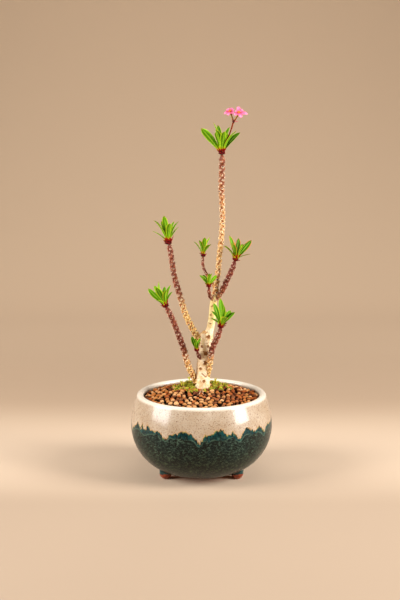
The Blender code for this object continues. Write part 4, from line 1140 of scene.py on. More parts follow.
def mix_finish():
    """Potting mix: dark bark crumbs and peat with pale grit."""
    paint = Finish("potting_mix")
    where = paint.place()
    crumb = cells(where, 420, output=1)
    tint = shade(crumb, "ShaderNodeSeparateColor", {0: crumb})
    colour = ramp(tint, [(0, tone(28, 20, 15)), (0.6, tone(62, 44, 30)), (0.9, tone(90, 66, 46)), (1,
        tone(170, 150, 125))])
    edge = cells(where, 420)
    rough = step(tint, 0, 1, 0.85, 0.98)
    return paint.wire(colour, rough, edge, strength=0.8, distance=0.0012)


def plastic_finish():
    """Moulded black plastic netting with a faint grain and a little dust."""
    paint = Finish("drain_plastic")
    where = paint.place()
    dust = mottle(where, 300, 0.5)
    colour = mix(dust * 0.3, tone(24, 24, 25), tone(80, 70, 60))
    rough = step(dust, 0, 1, 0.42, 0.68)
    return paint.wire(colour, rough, tooth(where, 2500, 0.2), strength=0.2, distance=0.0001)


def make_moss(look, finish):
    """Moss in the hollows between the grains, thickest near the trunk."""
    points, faces = [], []
    for x, y, radius in MOSS_PATCHES:
        patch, patch_faces = mound_sheet(MOSS_DROP, radius, 0.05, (x, y), 4, 14, MOSS_DOME)
        faces += [tuple(corner + len(points) for corner in face) for face in patch_faces]
        points += patch
    ground = mesh_piece("moss", points, faces)
    forms = [sprig_form(f"sprig_{form}", 40 + form) for form in range(4)]
    return place_forms(
        ground, forms, ON_GROUND, scatter_tree, Spacing=look.sprig_spacing,
        Smallest=look.sprig_height / MM * 0.7, Largest=look.sprig_height / MM * 1.2, Tumble=SPRIG_TUMBLE,
        Seed=look.seed, Finish=finish)


def moss_finish(look):
    paint = Finish("moss")
    own = paint.trait("own_tone")
    colour = mix(own, look.moss_dark, look.moss_light)
    facing = paint.facing(2)
    colour = mix(mottle(paint.place(), 250, 0.6) * 0.5, colour, look.moss_light)
    # sprigs painted near black where they face down: painted shade; the seedlings, marked upright, are left
    # out
    shaded = step(facing, 0.35, -0.1) - paint.trait("upright")
    colour = mix(step(shaded, 0, 1, 0, 0.85), colour, look.bed)
    rough = step(own, 0, 1, 0.55, 0.75)
    return paint.wire(colour, rough, tooth(paint.place(), 3000, 0.1), strength=0.2, distance=0.0001)


def make_rootlets(finish):
    """Thin pale roots that show on top of the grains in front of the trunk."""
    shells = Shells()
    for route in ROOTLETS:
        lifted = [(x, y, mound_height(x, y) + rise, radius) for x, y, rise, radius in route]
        rows, _ = smooth_route(lifted, 0.5)
        shells.add(*tube_shell(rows, 8))
    return shells.piece("rootlets", finish)


def root_finish():
    paint = Finish("rootlet")
    where = paint.place()
    colour = mix(mottle(where, 700, 0.6), tone(226, 196, 158), tone(160, 112, 70))
    rough = step(mottle(where, 300, 0.5), 0, 1, 0.6, 0.8)
    return paint.wire(colour, rough, tooth(where, 2500, 0.2), strength=0.4, distance=0.0001)


def make_seedlings(finish):
    """A few tiny plants that came up by themselves: short stems with a pair of narrow blades."""
    shells = Shells("own_tone", "upright")
    draw = np.random.default_rng(5)
    for x, y, height, lean in SEEDLINGS:
        base = mound_height(x, y) + SEEDLING_RISE
        for side in (-1, 1):
            spread = lean + side * draw.uniform(0.5, 1.1)
            route = [
                (x, y, base, 0.28), (x + 0.25 * spread, y, base + height * 0.45, 0.42),
                (x + 0.7 * spread, y - 0.2, base + height * 0.8, 0.40),
                (x + 1.2 * spread, y - 0.3, base + height, 0.10)]
            rows, _ = smooth_route(route, 0.35)
            shells.add(*tube_shell(rows, 8), own_tone=draw.uniform(0.3, 1.0), upright=1.0)
    return shells.piece("seedlings", finish)


# --- The woody frame ---


def wrapped(angles):
    return (angles + math.pi) % (2 * math.pi) - math.pi


def spiral_of_cushions(rows, reach, look, seed):
    """Leaf cushions on a golden-angle spiral: distance along, angle, and how big its scar is."""
    draw = np.random.default_rng(seed)
    middle = rows[len(rows) // 2, 3]
    rise = look.cushion_spacing / MM * look.cushion_spacing / MM * 0.87 / (2 * math.pi * (middle + 0.3))
    count = int((reach[-1] - 1.0) / rise)
    along = 0.6 + rise * np.arange(count) + draw.uniform(-0.12, 0.12, count)
    angle = (GOLDEN_ANGLE * np.arange(count) + draw.uniform(-0.08, 0.08, count)) % (2 * math.pi)
    worn = draw.uniform(size=count) < 0.5
    scar = np.where(worn, draw.uniform(0.7, 1.05, count), draw.uniform(0.25, 0.55, count))
    return along, angle, scar


def cushion_relief(rows, reach, columns, lattice, look):
    """How far cushions raise each point of a shoot, and how deep it lies in a scar."""
    along, angle, scar_size = lattice
    reach_across = look.cushion_spacing / MM * 0.55
    angles = np.linspace(0, 2 * math.pi, columns, endpoint=False)
    height, scar = np.zeros((len(rows), columns)), np.zeros((len(rows), columns))
    for ring, (distance, radius) in enumerate(zip(reach, rows[:, 3])):
        near = np.abs(along - distance) < 2.6
        if not near.any():
            continue
        ahead = (distance - along[near])[None]
        across = wrapped(angles[:, None] - angle[near][None]) * radius
        spread = (ahead / reach_across) ** 2 + (across / reach_across) ** 2
        dome = np.clip(1 - spread, 0, 1)
        eye = ((ahead - 0.4) / 0.60) ** 2 + (across / 0.85) ** 2
        size = scar_size[near][None]
        mark = np.clip(1.25 - eye / size ** 2, 0, 1)
        height[ring] = (dome * (0.75 + 0.25 * size)).max(axis=1)
        scar[ring] = mark.max(axis=1)
    return height, scar


def near_line(points, line):
    """How far points lie from a line through places in space."""
    line = np.asarray(line, float)
    spans = np.diff(line, axis=0)
    offset = points[:, None] - line[None, :-1]
    share = np.clip((offset * spans).sum(axis=2) / (spans ** 2).sum(axis=1), 0, 1)
    return np.linalg.norm(offset - share[..., None] * spans, axis=2).min(axis=1)


def trunk_at(z):
    rows = np.array(TRUNK)
    return tuple(np.interp(z, rows[:, 2], rows[:, column]) for column in (0, 1, 3))


def trunk_scars():
    """Every scar on the trunk as (centre, radius): those seen on its front, and others all round."""
    scars = []
    for marks, towards in ((FRONT_SCARS, -1), (BACK_SCARS, 1)):
        for x, z, radius in marks:
            axis_x, axis_y, girth = trunk_at(z)
            depth = math.sqrt(max(girth ** 2 - (x - axis_x) ** 2, 0))
            scars.append((np.array([x, axis_y + towards * depth, z]), radius))
    draw = np.random.default_rng(21)
    marks, lowest, rise = TRUNK_MARKS
    for number in range(marks):
        z = lowest + number * rise + draw.uniform(-0.5, 0.5)
        bearing = number * GOLDEN_ANGLE
        if math.sin(bearing) < -0.45:
            continue
        axis_x, axis_y, girth = trunk_at(z)
        centre = np.array([axis_x + girth * math.cos(bearing), axis_y + girth * math.sin(bearing), z])
        scars.append((centre, draw.uniform(0.6, 1.0)))
    return scars


def bark_relief(points, fade):
    """Wrinkles and scars of the old bark: rise of the surface, scar depth and crease depth."""
    rise, scar = np.zeros(len(points)), np.zeros(len(points))
    ragged = np.array([noise.noise(Vector(point) * 0.9) for point in points])
    for centre, radius in trunk_scars():
        away = np.linalg.norm((points - centre) * (1, 1, 1.25), axis=1) / radius + 0.8 * ragged
        rise += 0.26 * np.exp(-((away - 1.15) / 0.34) ** 2) + 0.12 * np.exp(-(away / 1.5) ** 2)
        rise -= 0.28 * np.exp(-(away / 0.62) ** 2)
        scar = np.maximum(scar, ease(away, 1.05, 0.6))
    crease = np.zeros(len(points))
    for line, width in TRUNK_CREASES:
        crease = np.maximum(crease, np.exp(-(near_line(points, line) / width) ** 2))
    rough = np.array([
        noise.noise(Vector((x * 0.55, y * 0.55, z * 0.16))) * 0.34
        + noise.noise(Vector((x * 1.3, y * 1.3, z * 0.9))) * 0.16
        + noise.noise(Vector((x * 0.4, y * 0.4, z * 1.7))) * 0.12 for x, y, z in points])
    return (rise + rough) * fade - 0.3 * crease, scar * fade, crease


def shoot_shell(shells, name, route, look, seed):
    """Adds one studded shoot, and gives back its cushions for the spines."""
    rows, reach = smooth_route(route, look.ring_pitch / MM)
    slim = route[-2][3] < SLIM_SHOOT
    columns = 24 if slim else look.stem_sides
    lattice = spiral_of_cushions(rows, reach, look, seed)
    height, scar = cushion_relief(rows, reach, columns, lattice, look)
    tall = look.cushion_height / MM * (0.6 if slim else 1.0)
    relief = (height - 0.42) * tall - scar * 0.16
    points, faces = tube_shell(rows, columns, relief)
    low, high, start, end = BARK_TONES[name]
    share = ease(reach / reach[-1], start, end)
    maroon = np.repeat(low + (high - low) * share, columns)
    spare = len(points) - len(maroon)
    shells.add(points, faces, cushion=np.append(height.ravel(), np.full(spare, 0.3)),
               scar=np.append(scar.ravel(), np.zeros(spare)), maroon=np.append(maroon, np.full(spare, high)))
    return rows, reach, lattice


def make_woody_frame(look, finish):
    shells = Shells("cushion", "scar", "maroon", "old", "crease", "cut")
    rows, _ = smooth_route(TRUNK, look.ring_pitch / MM)
    smooth_points, faces = tube_shell(rows, look.trunk_sides)
    centres = np.repeat(rows[:, :3], look.trunk_sides, axis=0)
    around = smooth_points[:len(centres)]
    fade = 1 - 0.45 * ease(around[:, 2], 118, 140)
    rise, scar, crease = bark_relief(around, fade)
    out = (around - centres) / np.linalg.norm(around - centres, axis=1)[:, None]
    points = smooth_points.copy()
    points[:len(centres)] += out * rise[:, None]
    spare = np.zeros(len(points) - len(centres))
    maroon = np.append(0.25 * ease(around[:, 2], 125, 150), spare)
    shells.add(points, faces, scar=np.append(scar, spare), crease=np.append(crease, spare), old=1.0,
               maroon=maroon)

    stub_rows, _ = smooth_route(CUT_STUB, look.ring_pitch / MM)
    stub_points, stub_faces = tube_shell(stub_rows, 56)
    end = stub_points[:, 2] - (stub_rows[-1, 2] - 0.8)
    cut = ease(end, 0.4, 1.2)
    stub_rise, stub_scar, _ = bark_relief(stub_points, np.ones(len(stub_points)))
    lumps = np.array([noise.noise(Vector(point) * 0.8) for point in stub_points])
    stub_points[:, 2] += (lumps * 2.2 - 0.3) * ease(end, -1.6, 0.6)
    stub_rise += 0.7 * np.maximum(lumps, 0) * ease(end, -3.0, -0.5)
    stub_out = stub_points - np.array([2.2, -1.6, 0]) * (1, 1, 0) - stub_points * (0, 0, 1)
    stub_out /= np.maximum(np.linalg.norm(stub_out, axis=1), 0.5)[:, None]
    stub_points = stub_points + stub_out * (stub_rise * (1 - cut))[:, None]
    shells.add(stub_points, stub_faces, scar=stub_scar, old=1.0, cut=cut)

    shoots = []
    for number, (name, route) in enumerate(ROUTE_OF.items()):
        shoots.append(shoot_shell(shells, name, route, look, 100 + number))
    return shells.piece("woody_frame", finish), shoots


def spine_form(name, bend, sides=5):
    """A short stub spine, one millimetre long, on a broad foot."""
    points, faces = [], []
    for share, radius in ((-0.25, 0.30), (0.12, 0.21), (0.6, 0.12)):
        for corner in range(sides):
            angle = 2 * math.pi * corner / sides
            points.append((radius * math.cos(angle) + bend * share ** 2, radius * math.sin(angle), share))
    points += [(bend, 0, 1.0), (0, 0, -0.25)]
    faces = ring_faces(3, sides) + cap_faces(2 * sides, sides, len(points) - 2)
    faces += cap_faces(0, sides, len(points) - 1, outward=False)
    tips = np.clip([point[2] for point in points], 0, 1)
    return mesh_piece(name, points, faces, traits={"tip": tips})


def make_spines(shoots, look, finish):
    """Two stub spines beside the scar of every cushion."""
    draw = np.random.default_rng(77)
    spots = Spots()
    for rows, reach, (along, angle, _) in shoots:
        grows, sides, others = line_frames(rows[:, :3])
        stop = reach[-1] - 1.2
        for distance, bearing in zip(along, angle):
            if distance > stop:
                continue
            ring = int(np.clip(np.searchsorted(reach, distance), 0, len(rows) - 1))
            radius = rows[ring, 3]
            for hand in (-1, 1):
                if draw.uniform() < 0.25:
                    continue
                spin = bearing + hand * (0.62 + draw.uniform(-0.08, 0.1)) / radius
                out = sides[ring] * math.cos(spin) + others[ring] * math.sin(spin)
                foot = rows[ring, :3] + out * (radius + look.cushion_height / MM * 0.55)
                tangent = np.cross(grows[ring], out)
                up, aside = draw.uniform(-0.1, 0.55), draw.uniform(0.1, 0.6)
                way = Vector(out + grows[ring] * up + tangent * hand * aside).normalized()
                short = 0.7 if radius < SLIM_SHOOT else 1.0
                length = look.spine_length / MM * draw.uniform(0.55, 1.2) * short
                spots.add(foot, way, square_to(Vector(grows[ring]), way), (1.0, 1.0, length),
                          int(draw.integers(0, 2)))
    return spots.piece("stub_spines", [spine_form("spine_a", 0.0), spine_form("spine_b", 0.25)], finish)


def bark_finish(look):
    """Ivory old bark low down, and golden to maroon shoots with tan cushions and dark leaf scars. The cushion
    tops are paler and the valleys darker, partly the bark's own colour and partly painted highlight and
    painted shade.
    """
    paint = Finish("bark", Specular_IOR_Level=0.3)
    where = paint.place()
    height = paint.height()
    old, scar, crease = (paint.trait("old"), paint.trait("scar"), paint.trait("crease"))
    cushion, maroon, cut = (paint.trait("cushion"), paint.trait("maroon"), paint.trait("cut"))
    patch = mottle(where, 240, 0.45)
    fine = mottle(where, 900, 0.5)

    ivory = mix(patch, look.ivory, look.ivory_shade)
    ivory = mix(fine * 0.42, ivory, look.tan)
    stains = step(clouds(where, 430, 5, 0.7), 0.48, 0.62)
    ivory = mix(stains * 0.8, ivory, look.ivory_shade)
    crust = step(clouds(where, 700, 4, 0.7), 0.57, 0.66)
    ivory = mix(crust * 0.75, ivory, look.scar_rim)
    flecks = speckle(where, 1100, 0.32)
    ivory = mix(flecks * 0.5, ivory, look.scar_rim)
    foot = step(height + patch * 5, 80, 75)
    ivory = mix(foot * 0.75, ivory, look.base_orange)
    high = step(height, 120, 136) * 0.7
    ivory = mix(high, ivory, mix(patch, look.golden, look.tan_olive))
    ivory = mix(maroon, ivory, look.golden)

    golden = mix(patch, look.golden, look.tan)
    red = mix(fine, look.maroon, look.maroon_deep)
    # pale cushion tops and darker valleys: partly the bark's own colour, partly a painted highlight on the
    # tops and painted shade in the valleys
    top = mix(maroon, golden, mix(step(patch, 0.35, 0.6), look.tan_pink, look.maroon_pale))
    valley = mix(maroon, look.base_orange, red)
    sunken = maroon * maroon * 0.42
    uneven = fine * 0.3 - sunken
    worn = (patch - 0.45) * 0.7
    raised = step(cushion + uneven + worn, 0.34, 0.74)
    shoot = mix(raised, valley, top)
    shoot = mix(step(maroon, 0.5, 0.95) * 0.3, shoot, red)
    colour = mix(old, shoot, ivory)
    ring = step(scar, 0.02, 0.3) * 0.7
    colour = mix(ring, colour, look.scar_rim)
    colour = mix(step(scar, 0.35, 0.7), colour, mix(old, look.scar, look.old_scar))
    colour = mix(step(crease, 0.25, 0.8) * 0.85, colour, look.scar_rim)
    colour = mix(cut * 0.85, colour, mix(fine, look.tan, look.scar_rim))

    rough = step(cushion, 0, 1, 0.55, 0.3)
    skin = tooth(stretched(where, (1, 1, 0.55)), 1500, 0.3)
    return paint.wire(colour, rough, skin, strength=0.45, distance=0.0002)


def spine_finish(look):
    paint = Finish("spine")
    where = paint.place()
    tip = paint.trait("tip")
    pale = mix(mottle(where, 500, 0.6), look.spine_foot, look.tan_pink)
    colour = mix(step(tip, 0.25, 0.9), pale, look.spine_tip)
    rough = step(tip, 0, 1, 0.6, 0.4)
    return paint.wire(colour, rough, tooth(where, 3000, 0.2), strength=0.2, distance=0.0001)


# --- Leaves ---


def blade_form(name, shape, reference):
    """A thin closed blade that grows along +Z and faces +Y, at the reference length and width.

    The shape gives its stations (share of the length, share of the half width), its fold and bow as
    CAD has them, how far the tip hooks over, how much it twists, and how its margins wave."""
    length, width = reference
    rows, columns = shape.get("rows", 20), shape.get("columns", 9)
    parts = np.linspace(0, 1, rows) ** 0.9
    knots = np.array(shape["stations"])
    halves = width / 2 * np.interp(parts, *zip(*smooth_outline(knots)))
    across = np.linspace(-1, 1, columns)
    upper, lower = [], []
    for part, half in zip(parts, halves):
        turn = shape.get("twist", 0.0) * part
        middle = 4 * shape["bow"] * length * part * (1 - part) - shape.get("hook", 0.0) * part ** 4
        for share in across:
            bent = math.sqrt(share * share + 0.04) - 0.2
            lift = half * math.tan(shape["fold"]) * bent * (1 - 0.35 * part)
            lift += shape.get("wave", 0.0) * share * abs(share) * math.sin(part * 17 + 2 * share)
            cup = shape.get("cup", 0.0) * (share ** 2) * math.sin(math.pi * part)
            side = half * share * math.cos(shape["fold"] * 0.8)
            thick = shape["thick"] * (0.30 + 0.70 * (1 - abs(share) ** 1.5)) * (1 - 0.55 * part)
            thick *= 1.0 + 0.9 * math.exp(-(share / 0.16) ** 2) * (1 - part)
            x, y = side, middle + lift + cup
            off = y - middle
            x, y = (x * math.cos(turn) - off * math.sin(turn),
                    middle + x * math.sin(turn) + off * math.cos(turn))
            upper.append((x, y + thick * 0.3, length * part))
            lower.append((x, y - thick * 0.7, length * part))
    points = upper + lower
    faces, back = [], len(upper)
    for row in range(rows - 1):
        for column in range(columns - 1):
            a = row * columns + column
            b, c, d = a + 1, a + 1 + columns, a + columns
            faces.append((a, d, c, b))
            faces.append((back + a, back + b, back + c, back + d))
    rim = [column for column in range(columns)]
    rim += [row * columns + columns - 1 for row in range(1, rows)]
    rim += [(rows - 1) * columns + column for column in range(columns - 2, -1, -1)]
    rim += [row * columns for row in range(rows - 2, 0, -1)]
    for here, following in zip(rim, rim[1:] + rim[:1]):
        faces.append((here, following, back + following, back + here))
    traits = {
        "across": np.tile(across, 2 * rows), "along": np.tile(np.repeat(parts, columns), 2),
        "under": np.repeat([0.0, 1.0], rows * columns)}
    return mesh_piece(name, points, faces, traits=traits)


def smooth_outline(knots, steps=40):
    """A smooth line through (share of the length, share of the half width) stations."""
    rows, _ = smooth_route([(part * 10, 0, share * 3, 0) for part, share in knots], 10 / steps)
    return [(x / 10, max(z / 3, 0)) for x, _, z, _ in rows]


def leaf_forms(look):
    thick = look.leaf_thickness / MM
    broad = {"stations": BROAD_LEAF_LINE, "fold": math.radians(24), "bow": 0.045, "thick": thick}
    slim = {"stations": SLIM_LEAF_LINE, "fold": math.radians(24), "bow": 0.045, "thick": thick}
    return [
        blade_form("leaf_a", {**broad, "hook": 0.5, "twist": 0.10, "wave": 0.05}, LEAF_REFERENCE),
        blade_form("leaf_b", {**slim, "hook": 0.3, "twist": -0.14, "wave": 0.04}, LEAF_REFERENCE),
        blade_form("leaf_c", {**broad, "hook": 1.0, "twist": -0.16, "wave": 0.09, "fold": math.radians(27)},
                   LEAF_REFERENCE),
        blade_form("leaf_d", {**slim, "hook": 0.9, "twist": 0.2, "wave": 0.06}, LEAF_REFERENCE),
    ]


def leaf_lines(rosette):
    """Where each blade starts beside the axis, the way it grows, its length, width and roll."""
    _, heart, axis, scale = rosette_places(rosette)
    for bearing, lean, length, width, *roll in ROSETTES[rosette]:
        along = bearing_and_lean(bearing, lean)
        tip = heart + axis * LEAF_ROOT * scale + along * length
        start = heart + (axis * (LEAF_ROOT - LEAF_DROP) + square_to(along, axis) * LEAF_SPREAD) * scale
        yield start, (tip - start).normalized(), (tip - start).length, width, math.radians(sum(roll))


def make_leaves(rosette, look, finish):
    """One rosette's blades, each from the nearest form, stretched to its own length and width."""
    _, _, axis, _ = rosette_places(rosette)
    draw = np.random.default_rng(sum(map(ord, rosette)))
    length0, width0 = LEAF_REFERENCE
    spots = Spots()
    for start, along, length, width, roll in leaf_lines(rosette):
        facing = square_to(axis, along)
        spots.add(
            start, along, facing * math.cos(roll) + along.cross(facing) * math.sin(roll),
            (width / width0, (width / width0 + length / length0) / 2, length / length0),
            (0 if width > NARROW_LEAF else 1) + 2 * int(draw.integers(0, 2)))
    count = len(spots.places)
    red = LEAF_BLUSH.get(rosette, 0.15)
    return spots.piece(
        "leaves_of_" + rosette, leaf_forms(look), finish, own_tone=draw.uniform(0, 1, count),
        blush=np.clip(draw.normal(red, 0.12, count), 0, 1))


def leaf_finish(look):
    """Fleshy green blades: a pale root and midrib, yellow-green margins, faint veins, brown tips, and a
    darker lane each side of the midrib, partly the leaf's own green and partly painted shade.
    """
    paint = Finish("leaf", Specular_IOR_Level=0.1)
    where = paint.place()
    across, along, under = (paint.trait("across"), paint.trait("along"), paint.trait("under"))
    own, blush = (paint.trait("own_tone"), paint.trait("blush"))
    aside = abs(across)
    soft = mottle(where, 170, 0.55)
    deep = own * 0.65 + soft * 0.35
    face = mix(deep, look.leaf_fresh, look.leaf_dark)
    back = mix(soft, look.leaf_back, look.leaf_fresh)
    colour = mix(under, face, back)
    # a darker lane between midrib and margin: partly the leaf's own green, partly painted shade of the fold
    lane = step(aside, 0.08, 0.26) * step(aside, 0.82, 0.5)
    lane = lane * step(under, 0, 1, 1, 0.85)
    colour = mix(lane * step(deep, 0, 1, 0.4, 0.95), colour, look.leaf_dark)
    slant = along * 26 - aside * 5
    vein = maths("PINGPONG", slant, 1)
    veins = step(vein, 0.22, 0) * step(aside, 0.98, 0.5)
    colour = mix(veins * 0.22, colour, look.leaf_pale)
    rib = step(aside, 0.2, 0.04) * step(along, 1, 0.55)
    colour = mix(rib * 0.55, colour, look.leaf_pale)
    margin = step(aside, 0.7, 0.97)
    colour = mix(margin * 0.6, colour, look.leaf_margin)
    colour = mix(step(along, 0.28, 0.08) * 0.7, colour, look.leaf_root)
    red_root = aside * 0.06 + blush * 0.1
    red_root = step(along - red_root, 0.13, 0.03)
    colour = mix(red_root * 0.9, colour, look.foot_red)
    red_edge = blush * margin * step(along, 0.15, 0.7)
    colour = mix(red_edge, colour, look.leaf_blush)
    tip = step(along + soft * 0.05, 0.95, 1) * 0.5
    colour = mix(tip, colour, look.leaf_tip)
    fleck = speckle(where, 900, 0.2)
    colour = mix(fleck * 0.35, colour, look.leaf_tip)
    rough = step(soft, 0, 1, 0.46, 0.62)
    skin = tooth(where, 1600, 0.15) + veins * 0.8
    return paint.wire(colour, rough, skin, strength=0.3, distance=0.00018)


def scale_form(name, bend):
    """A small pointed scale that grows along +Z, hollow on its +Y side, four millimetres long."""
    line = [(0, 0.55), (0.3, 1.0), (0.65, 0.62), (1, 0.05)]
    shape = {"stations": line, "fold": math.radians(14), "bow": -0.05, "thick": 0.34, "cup": 0.3,
             "hook": bend, "rows": 9, "columns": 5}
    return blade_form(name, shape, SCALE_REFERENCE)


def make_leaf_foot(rosette, finish):
    """The red foot of a rosette: a knobbly collar, a stalk to every leaf, and pointed scales between."""
    foot, _, axis, scale = rosette_places(rosette)
    shells = Shells("stalk", "knob")
    draw = np.random.default_rng(sum(map(ord, rosette)) + 7)
    low = np.array(foot - axis * 0.25)
    way = np.array(axis)
    rows = np.array([
        (*(low + way * rise * scale), radius * scale) for rise, radius in COLLAR_LINE])
    fine, reach = smooth_route(rows, 0.22)
    angles = np.linspace(0, 2 * math.pi, COLLAR_SIDES, endpoint=False)
    knobs = np.zeros((len(fine), COLLAR_SIDES))
    for knob in range(COLLAR_KNOBS):
        at, spin = 0.4 + knob * 0.19 * scale, knob * GOLDEN_ANGLE
        spread = ((reach[:, None] - at) / 0.55) ** 2 + (wrapped(angles - spin)[None] * 1.7 / 0.6) ** 2
        knobs = np.maximum(knobs, np.clip(1 - spread, 0, 1) ** 0.7)
    points, faces = tube_shell(fine, COLLAR_SIDES, knobs * 0.62 - 0.15)
    shells.add(points, faces, knob=np.append(knobs.ravel(), np.full(len(points) - knobs.size, 0.2)))
    for root, along, *_ in leaf_lines(rosette):
        out = square_to(along, axis)
        start = foot + (axis * 0.6 + out * 0.9) * scale
        bulge = root + out * 0.4 * scale
        into = root + along * 2.6 * scale
        rows = [(*start, 0.7 * scale), (*((start + bulge) / 2 + out * 0.4 * scale), 0.85 * scale),
                (*bulge, 0.8 * scale), (*into, 0.4 * scale)]
        line, reach = smooth_route(rows, 0.3)
        points, faces = tube_shell(line, STALK_SIDES)
        stalk = np.repeat(reach / reach[-1], STALK_SIDES)
        stalk = np.append(stalk, np.ones(len(points) - len(stalk)))
        shells.add(points, faces, stalk=stalk, knob=0.4)
    collar = shells.piece("red_foot_of_" + rosette, finish)

    spots = Spots()
    for number in range(13 if scale > 0.9 else 8):
        bearing = number * GOLDEN_ANGLE + 0.6
        side = square_to(Vector((1, 0, 0)), axis)
        out = side * math.cos(bearing) + axis.cross(side) * math.sin(bearing)
        lean = draw.uniform(0.2, 1.2)
        along = (axis * math.cos(lean) + out * math.sin(lean)).normalized()
        spots.add(
            foot + (axis * draw.uniform(0.8, 3.2) + out * 1.9) * scale, along, square_to(-out, along),
            (scale * draw.uniform(1.1, 1.7), scale, scale * draw.uniform(0.6, 1.3)), int(draw.integers(0, 2)))
    scales = spots.piece("scales", [scale_form("scale_a", 0.2), scale_form("scale_b", -0.4)], finish)
    return joined(collar.name, [collar, scales])


def foot_finish(look):
    """Bright to dark red young growth, waxy, with green at the leaf stalks' upper ends and painted shade
    between the knobs.
    """
    paint = Finish("leaf_foot", Specular_IOR_Level=0.12)
    where = paint.place()
    stalk, knob, along = (paint.trait("stalk"), paint.trait("knob"), paint.trait("along"))
    patch = mottle(where, 420, 0.5)
    colour = mix(patch, look.foot_red, look.foot_dark)
    # darker away from the knob tops: painted shade in the hollows between the knobs
    colour = mix(step(knob, 0.85, 0.35) * 0.92, colour, look.foot_dark)
    colour = mix(along * 0.5, colour, look.foot_bright)
    colour = mix(step(stalk, 0.45, 0.9), colour, look.leaf_root)
    rough = step(patch, 0, 1, 0.6, 0.8)
    return paint.wire(colour, rough, tooth(where, 1800, 0.3), strength=0.35, distance=0.0002)


# --- Flowers ---


def make_stalk(finish):
    """The stalk from the heart of the top rosette to its fork, with a pedicel to each bloom."""
    shells = Shells("knob", "pedicel")
    for number, route in enumerate((STALK, LEFT_PEDICEL, RIGHT_PEDICEL)):
        rows, reach = smooth_route(route, 0.25)
        ripple = 0.05 * np.sin(reach * 3.1)[:, None] + 0.03 * np.sin(reach * 7.7)[:, None]
        points, faces = tube_shell(rows, 16, ripple)
        along = np.append(np.repeat(reach / reach[-1], 16), np.ones(len(points) - 16 * len(rows)))
        shells.add(points, faces, pedicel=along if number else 0.0, knob=0.0)
    fork = np.array([(26.0, -0.5, 297.5, 0.5), (26.15, -0.5, 298.0, 0.85), (26.2, -0.5, 298.7, 1.0),
                     (26.3, -0.45, 299.4, 0.9), (26.35, -0.4, 299.9, 0.5)])
    rows, _ = smooth_route(fork, 0.2)
    lumps = 0.12 * np.sin(np.linspace(0, 2 * math.pi, 20, endpoint=False) * 4)[None] * np.ones((len(rows), 1))
    shells.add(*tube_shell(rows, 20, lumps), knob=1.0)
    return shells.piece("forked_stalk", finish)


def stalk_finish(look):
    paint = Finish("flower_stalk", Specular_IOR_Level=0.12)
    where = paint.place()
    height, knob, pedicel = (paint.height(), paint.trait("knob"), paint.trait("pedicel"))
    patch = mottle(where, 500, 0.5)
    colour = mix(step(height, 282, 295), look.stalk_low, look.stalk_high)
    colour = mix(patch * 0.4, colour, look.stalk_low)
    lit = paint.facing(0)
    lime = step(lit, 0.1, -0.7) * step(pedicel, 0.2, 0.6)
    colour = mix(lime * 0.6, colour, look.stalk_lime)
    colour = mix(knob, colour, look.stalk_fork)
    rough = step(patch, 0, 1, 0.6, 0.8)
    return paint.wire(colour, rough, tooth(where, 2000, 0.2), strength=0.3, distance=0.00015)


def petal_shape(look, bend, wave):
    return {"stations": PETAL_LINE, "fold": math.radians(10), "bow": 0.06,
            "thick": look.petal_thickness / MM, "cup": 0.22, "hook": bend, "wave": wave,
            "rows": 16, "columns": 11}


def bloom_places(side):
    pedicel, facing, petals = BLOOMS[side]
    normal = Vector(facing).normalized()
    return end_of(pedicel) + normal * CUP_LIFT, normal, petals


def make_petals(side, look, finish):
    cup, normal, petals = bloom_places(side)
    right = UP.cross(normal).normalized()
    up = normal.cross(right)
    draw = np.random.default_rng(len(side))
    length0, width0 = PETAL_REFERENCE
    spots = Spots()
    for number, (bearing, length) in enumerate(petals):
        angle = math.radians(bearing)
        flat = right * math.cos(angle) + up * math.sin(angle)
        along = flat * math.cos(PETAL_LIFT) + normal * math.sin(PETAL_LIFT)
        layer = normal * (0.16 if number % 2 else -0.16)
        at = cup + normal * CUP_HEIGHT / 2 + along * CUP_RADIUS / 2 + layer
        spots.add(
            at, along, square_to(normal, along), (PETAL_WIDTH / width0, 1.0, length / length0), number % 2)
    shown = spots.piece(side + "_bloom_petals", [
        blade_form("petal_a", petal_shape(look, 0.35, 0.10), PETAL_REFERENCE),
        blade_form("petal_b", petal_shape(look, -0.1, 0.16), PETAL_REFERENCE)], finish,
        own_tone=draw.uniform(0, 1, len(petals)))
    way = np.array(normal)
    profile = ((-0.5, 0.55), (-0.1, 0.8), (0.3, 1.05), (0.7, 1.15), (0.9, 0.95))
    rows = np.array([(*(np.array(cup) + way * rise), radius) for rise, radius in profile])
    line, _ = smooth_route(rows, 0.15)
    cup_shells = Shells("across", "along", "under", "own_tone")
    cup_shells.add(*tube_shell(line, 20), under=1.0, along=0.1)
    return joined(shown.name, [shown, cup_shells.piece("cup", finish)])


def petal_finish(look):
    """Pale pink above and paler towards the tips, partly the petal's own colour and partly painted highlight,
    deeper at the margins, the root and underneath, with fine veins.
    """
    paint = Finish("petal", Specular_IOR_Level=0.2)
    where = paint.place()
    across, along, under = (paint.trait("across"), paint.trait("along"), paint.trait("under"))
    aside = abs(across)
    soft = mottle(where, 330, 0.6)
    colour = mix(soft, look.petal_pale, look.petal_pink)
    # paler towards the tip: partly the petal's own colour, partly a painted highlight
    colour = mix(step(along, 0.4, 0.9) * 0.4, colour, look.petal_tip)
    colour = mix(under * 0.75, colour, look.petal_deep)
    fan = maths("PINGPONG", across * 6, 1)
    colour = mix(step(fan, 0.3, 0) * 0.22, colour, look.petal_deep)
    edge = maths("MAXIMUM", step(aside, 0.78, 1), step(along, 0.9, 1))
    colour = mix(edge * 0.55, colour, look.petal_deep)
    colour = mix(step(along, 0.22, 0) * 0.7, colour, look.petal_root)
    rough = step(soft, 0, 1, 0.42, 0.6)
    return paint.wire(colour, rough, tooth(where, 1800, 0.15), strength=0.25, distance=0.00015)


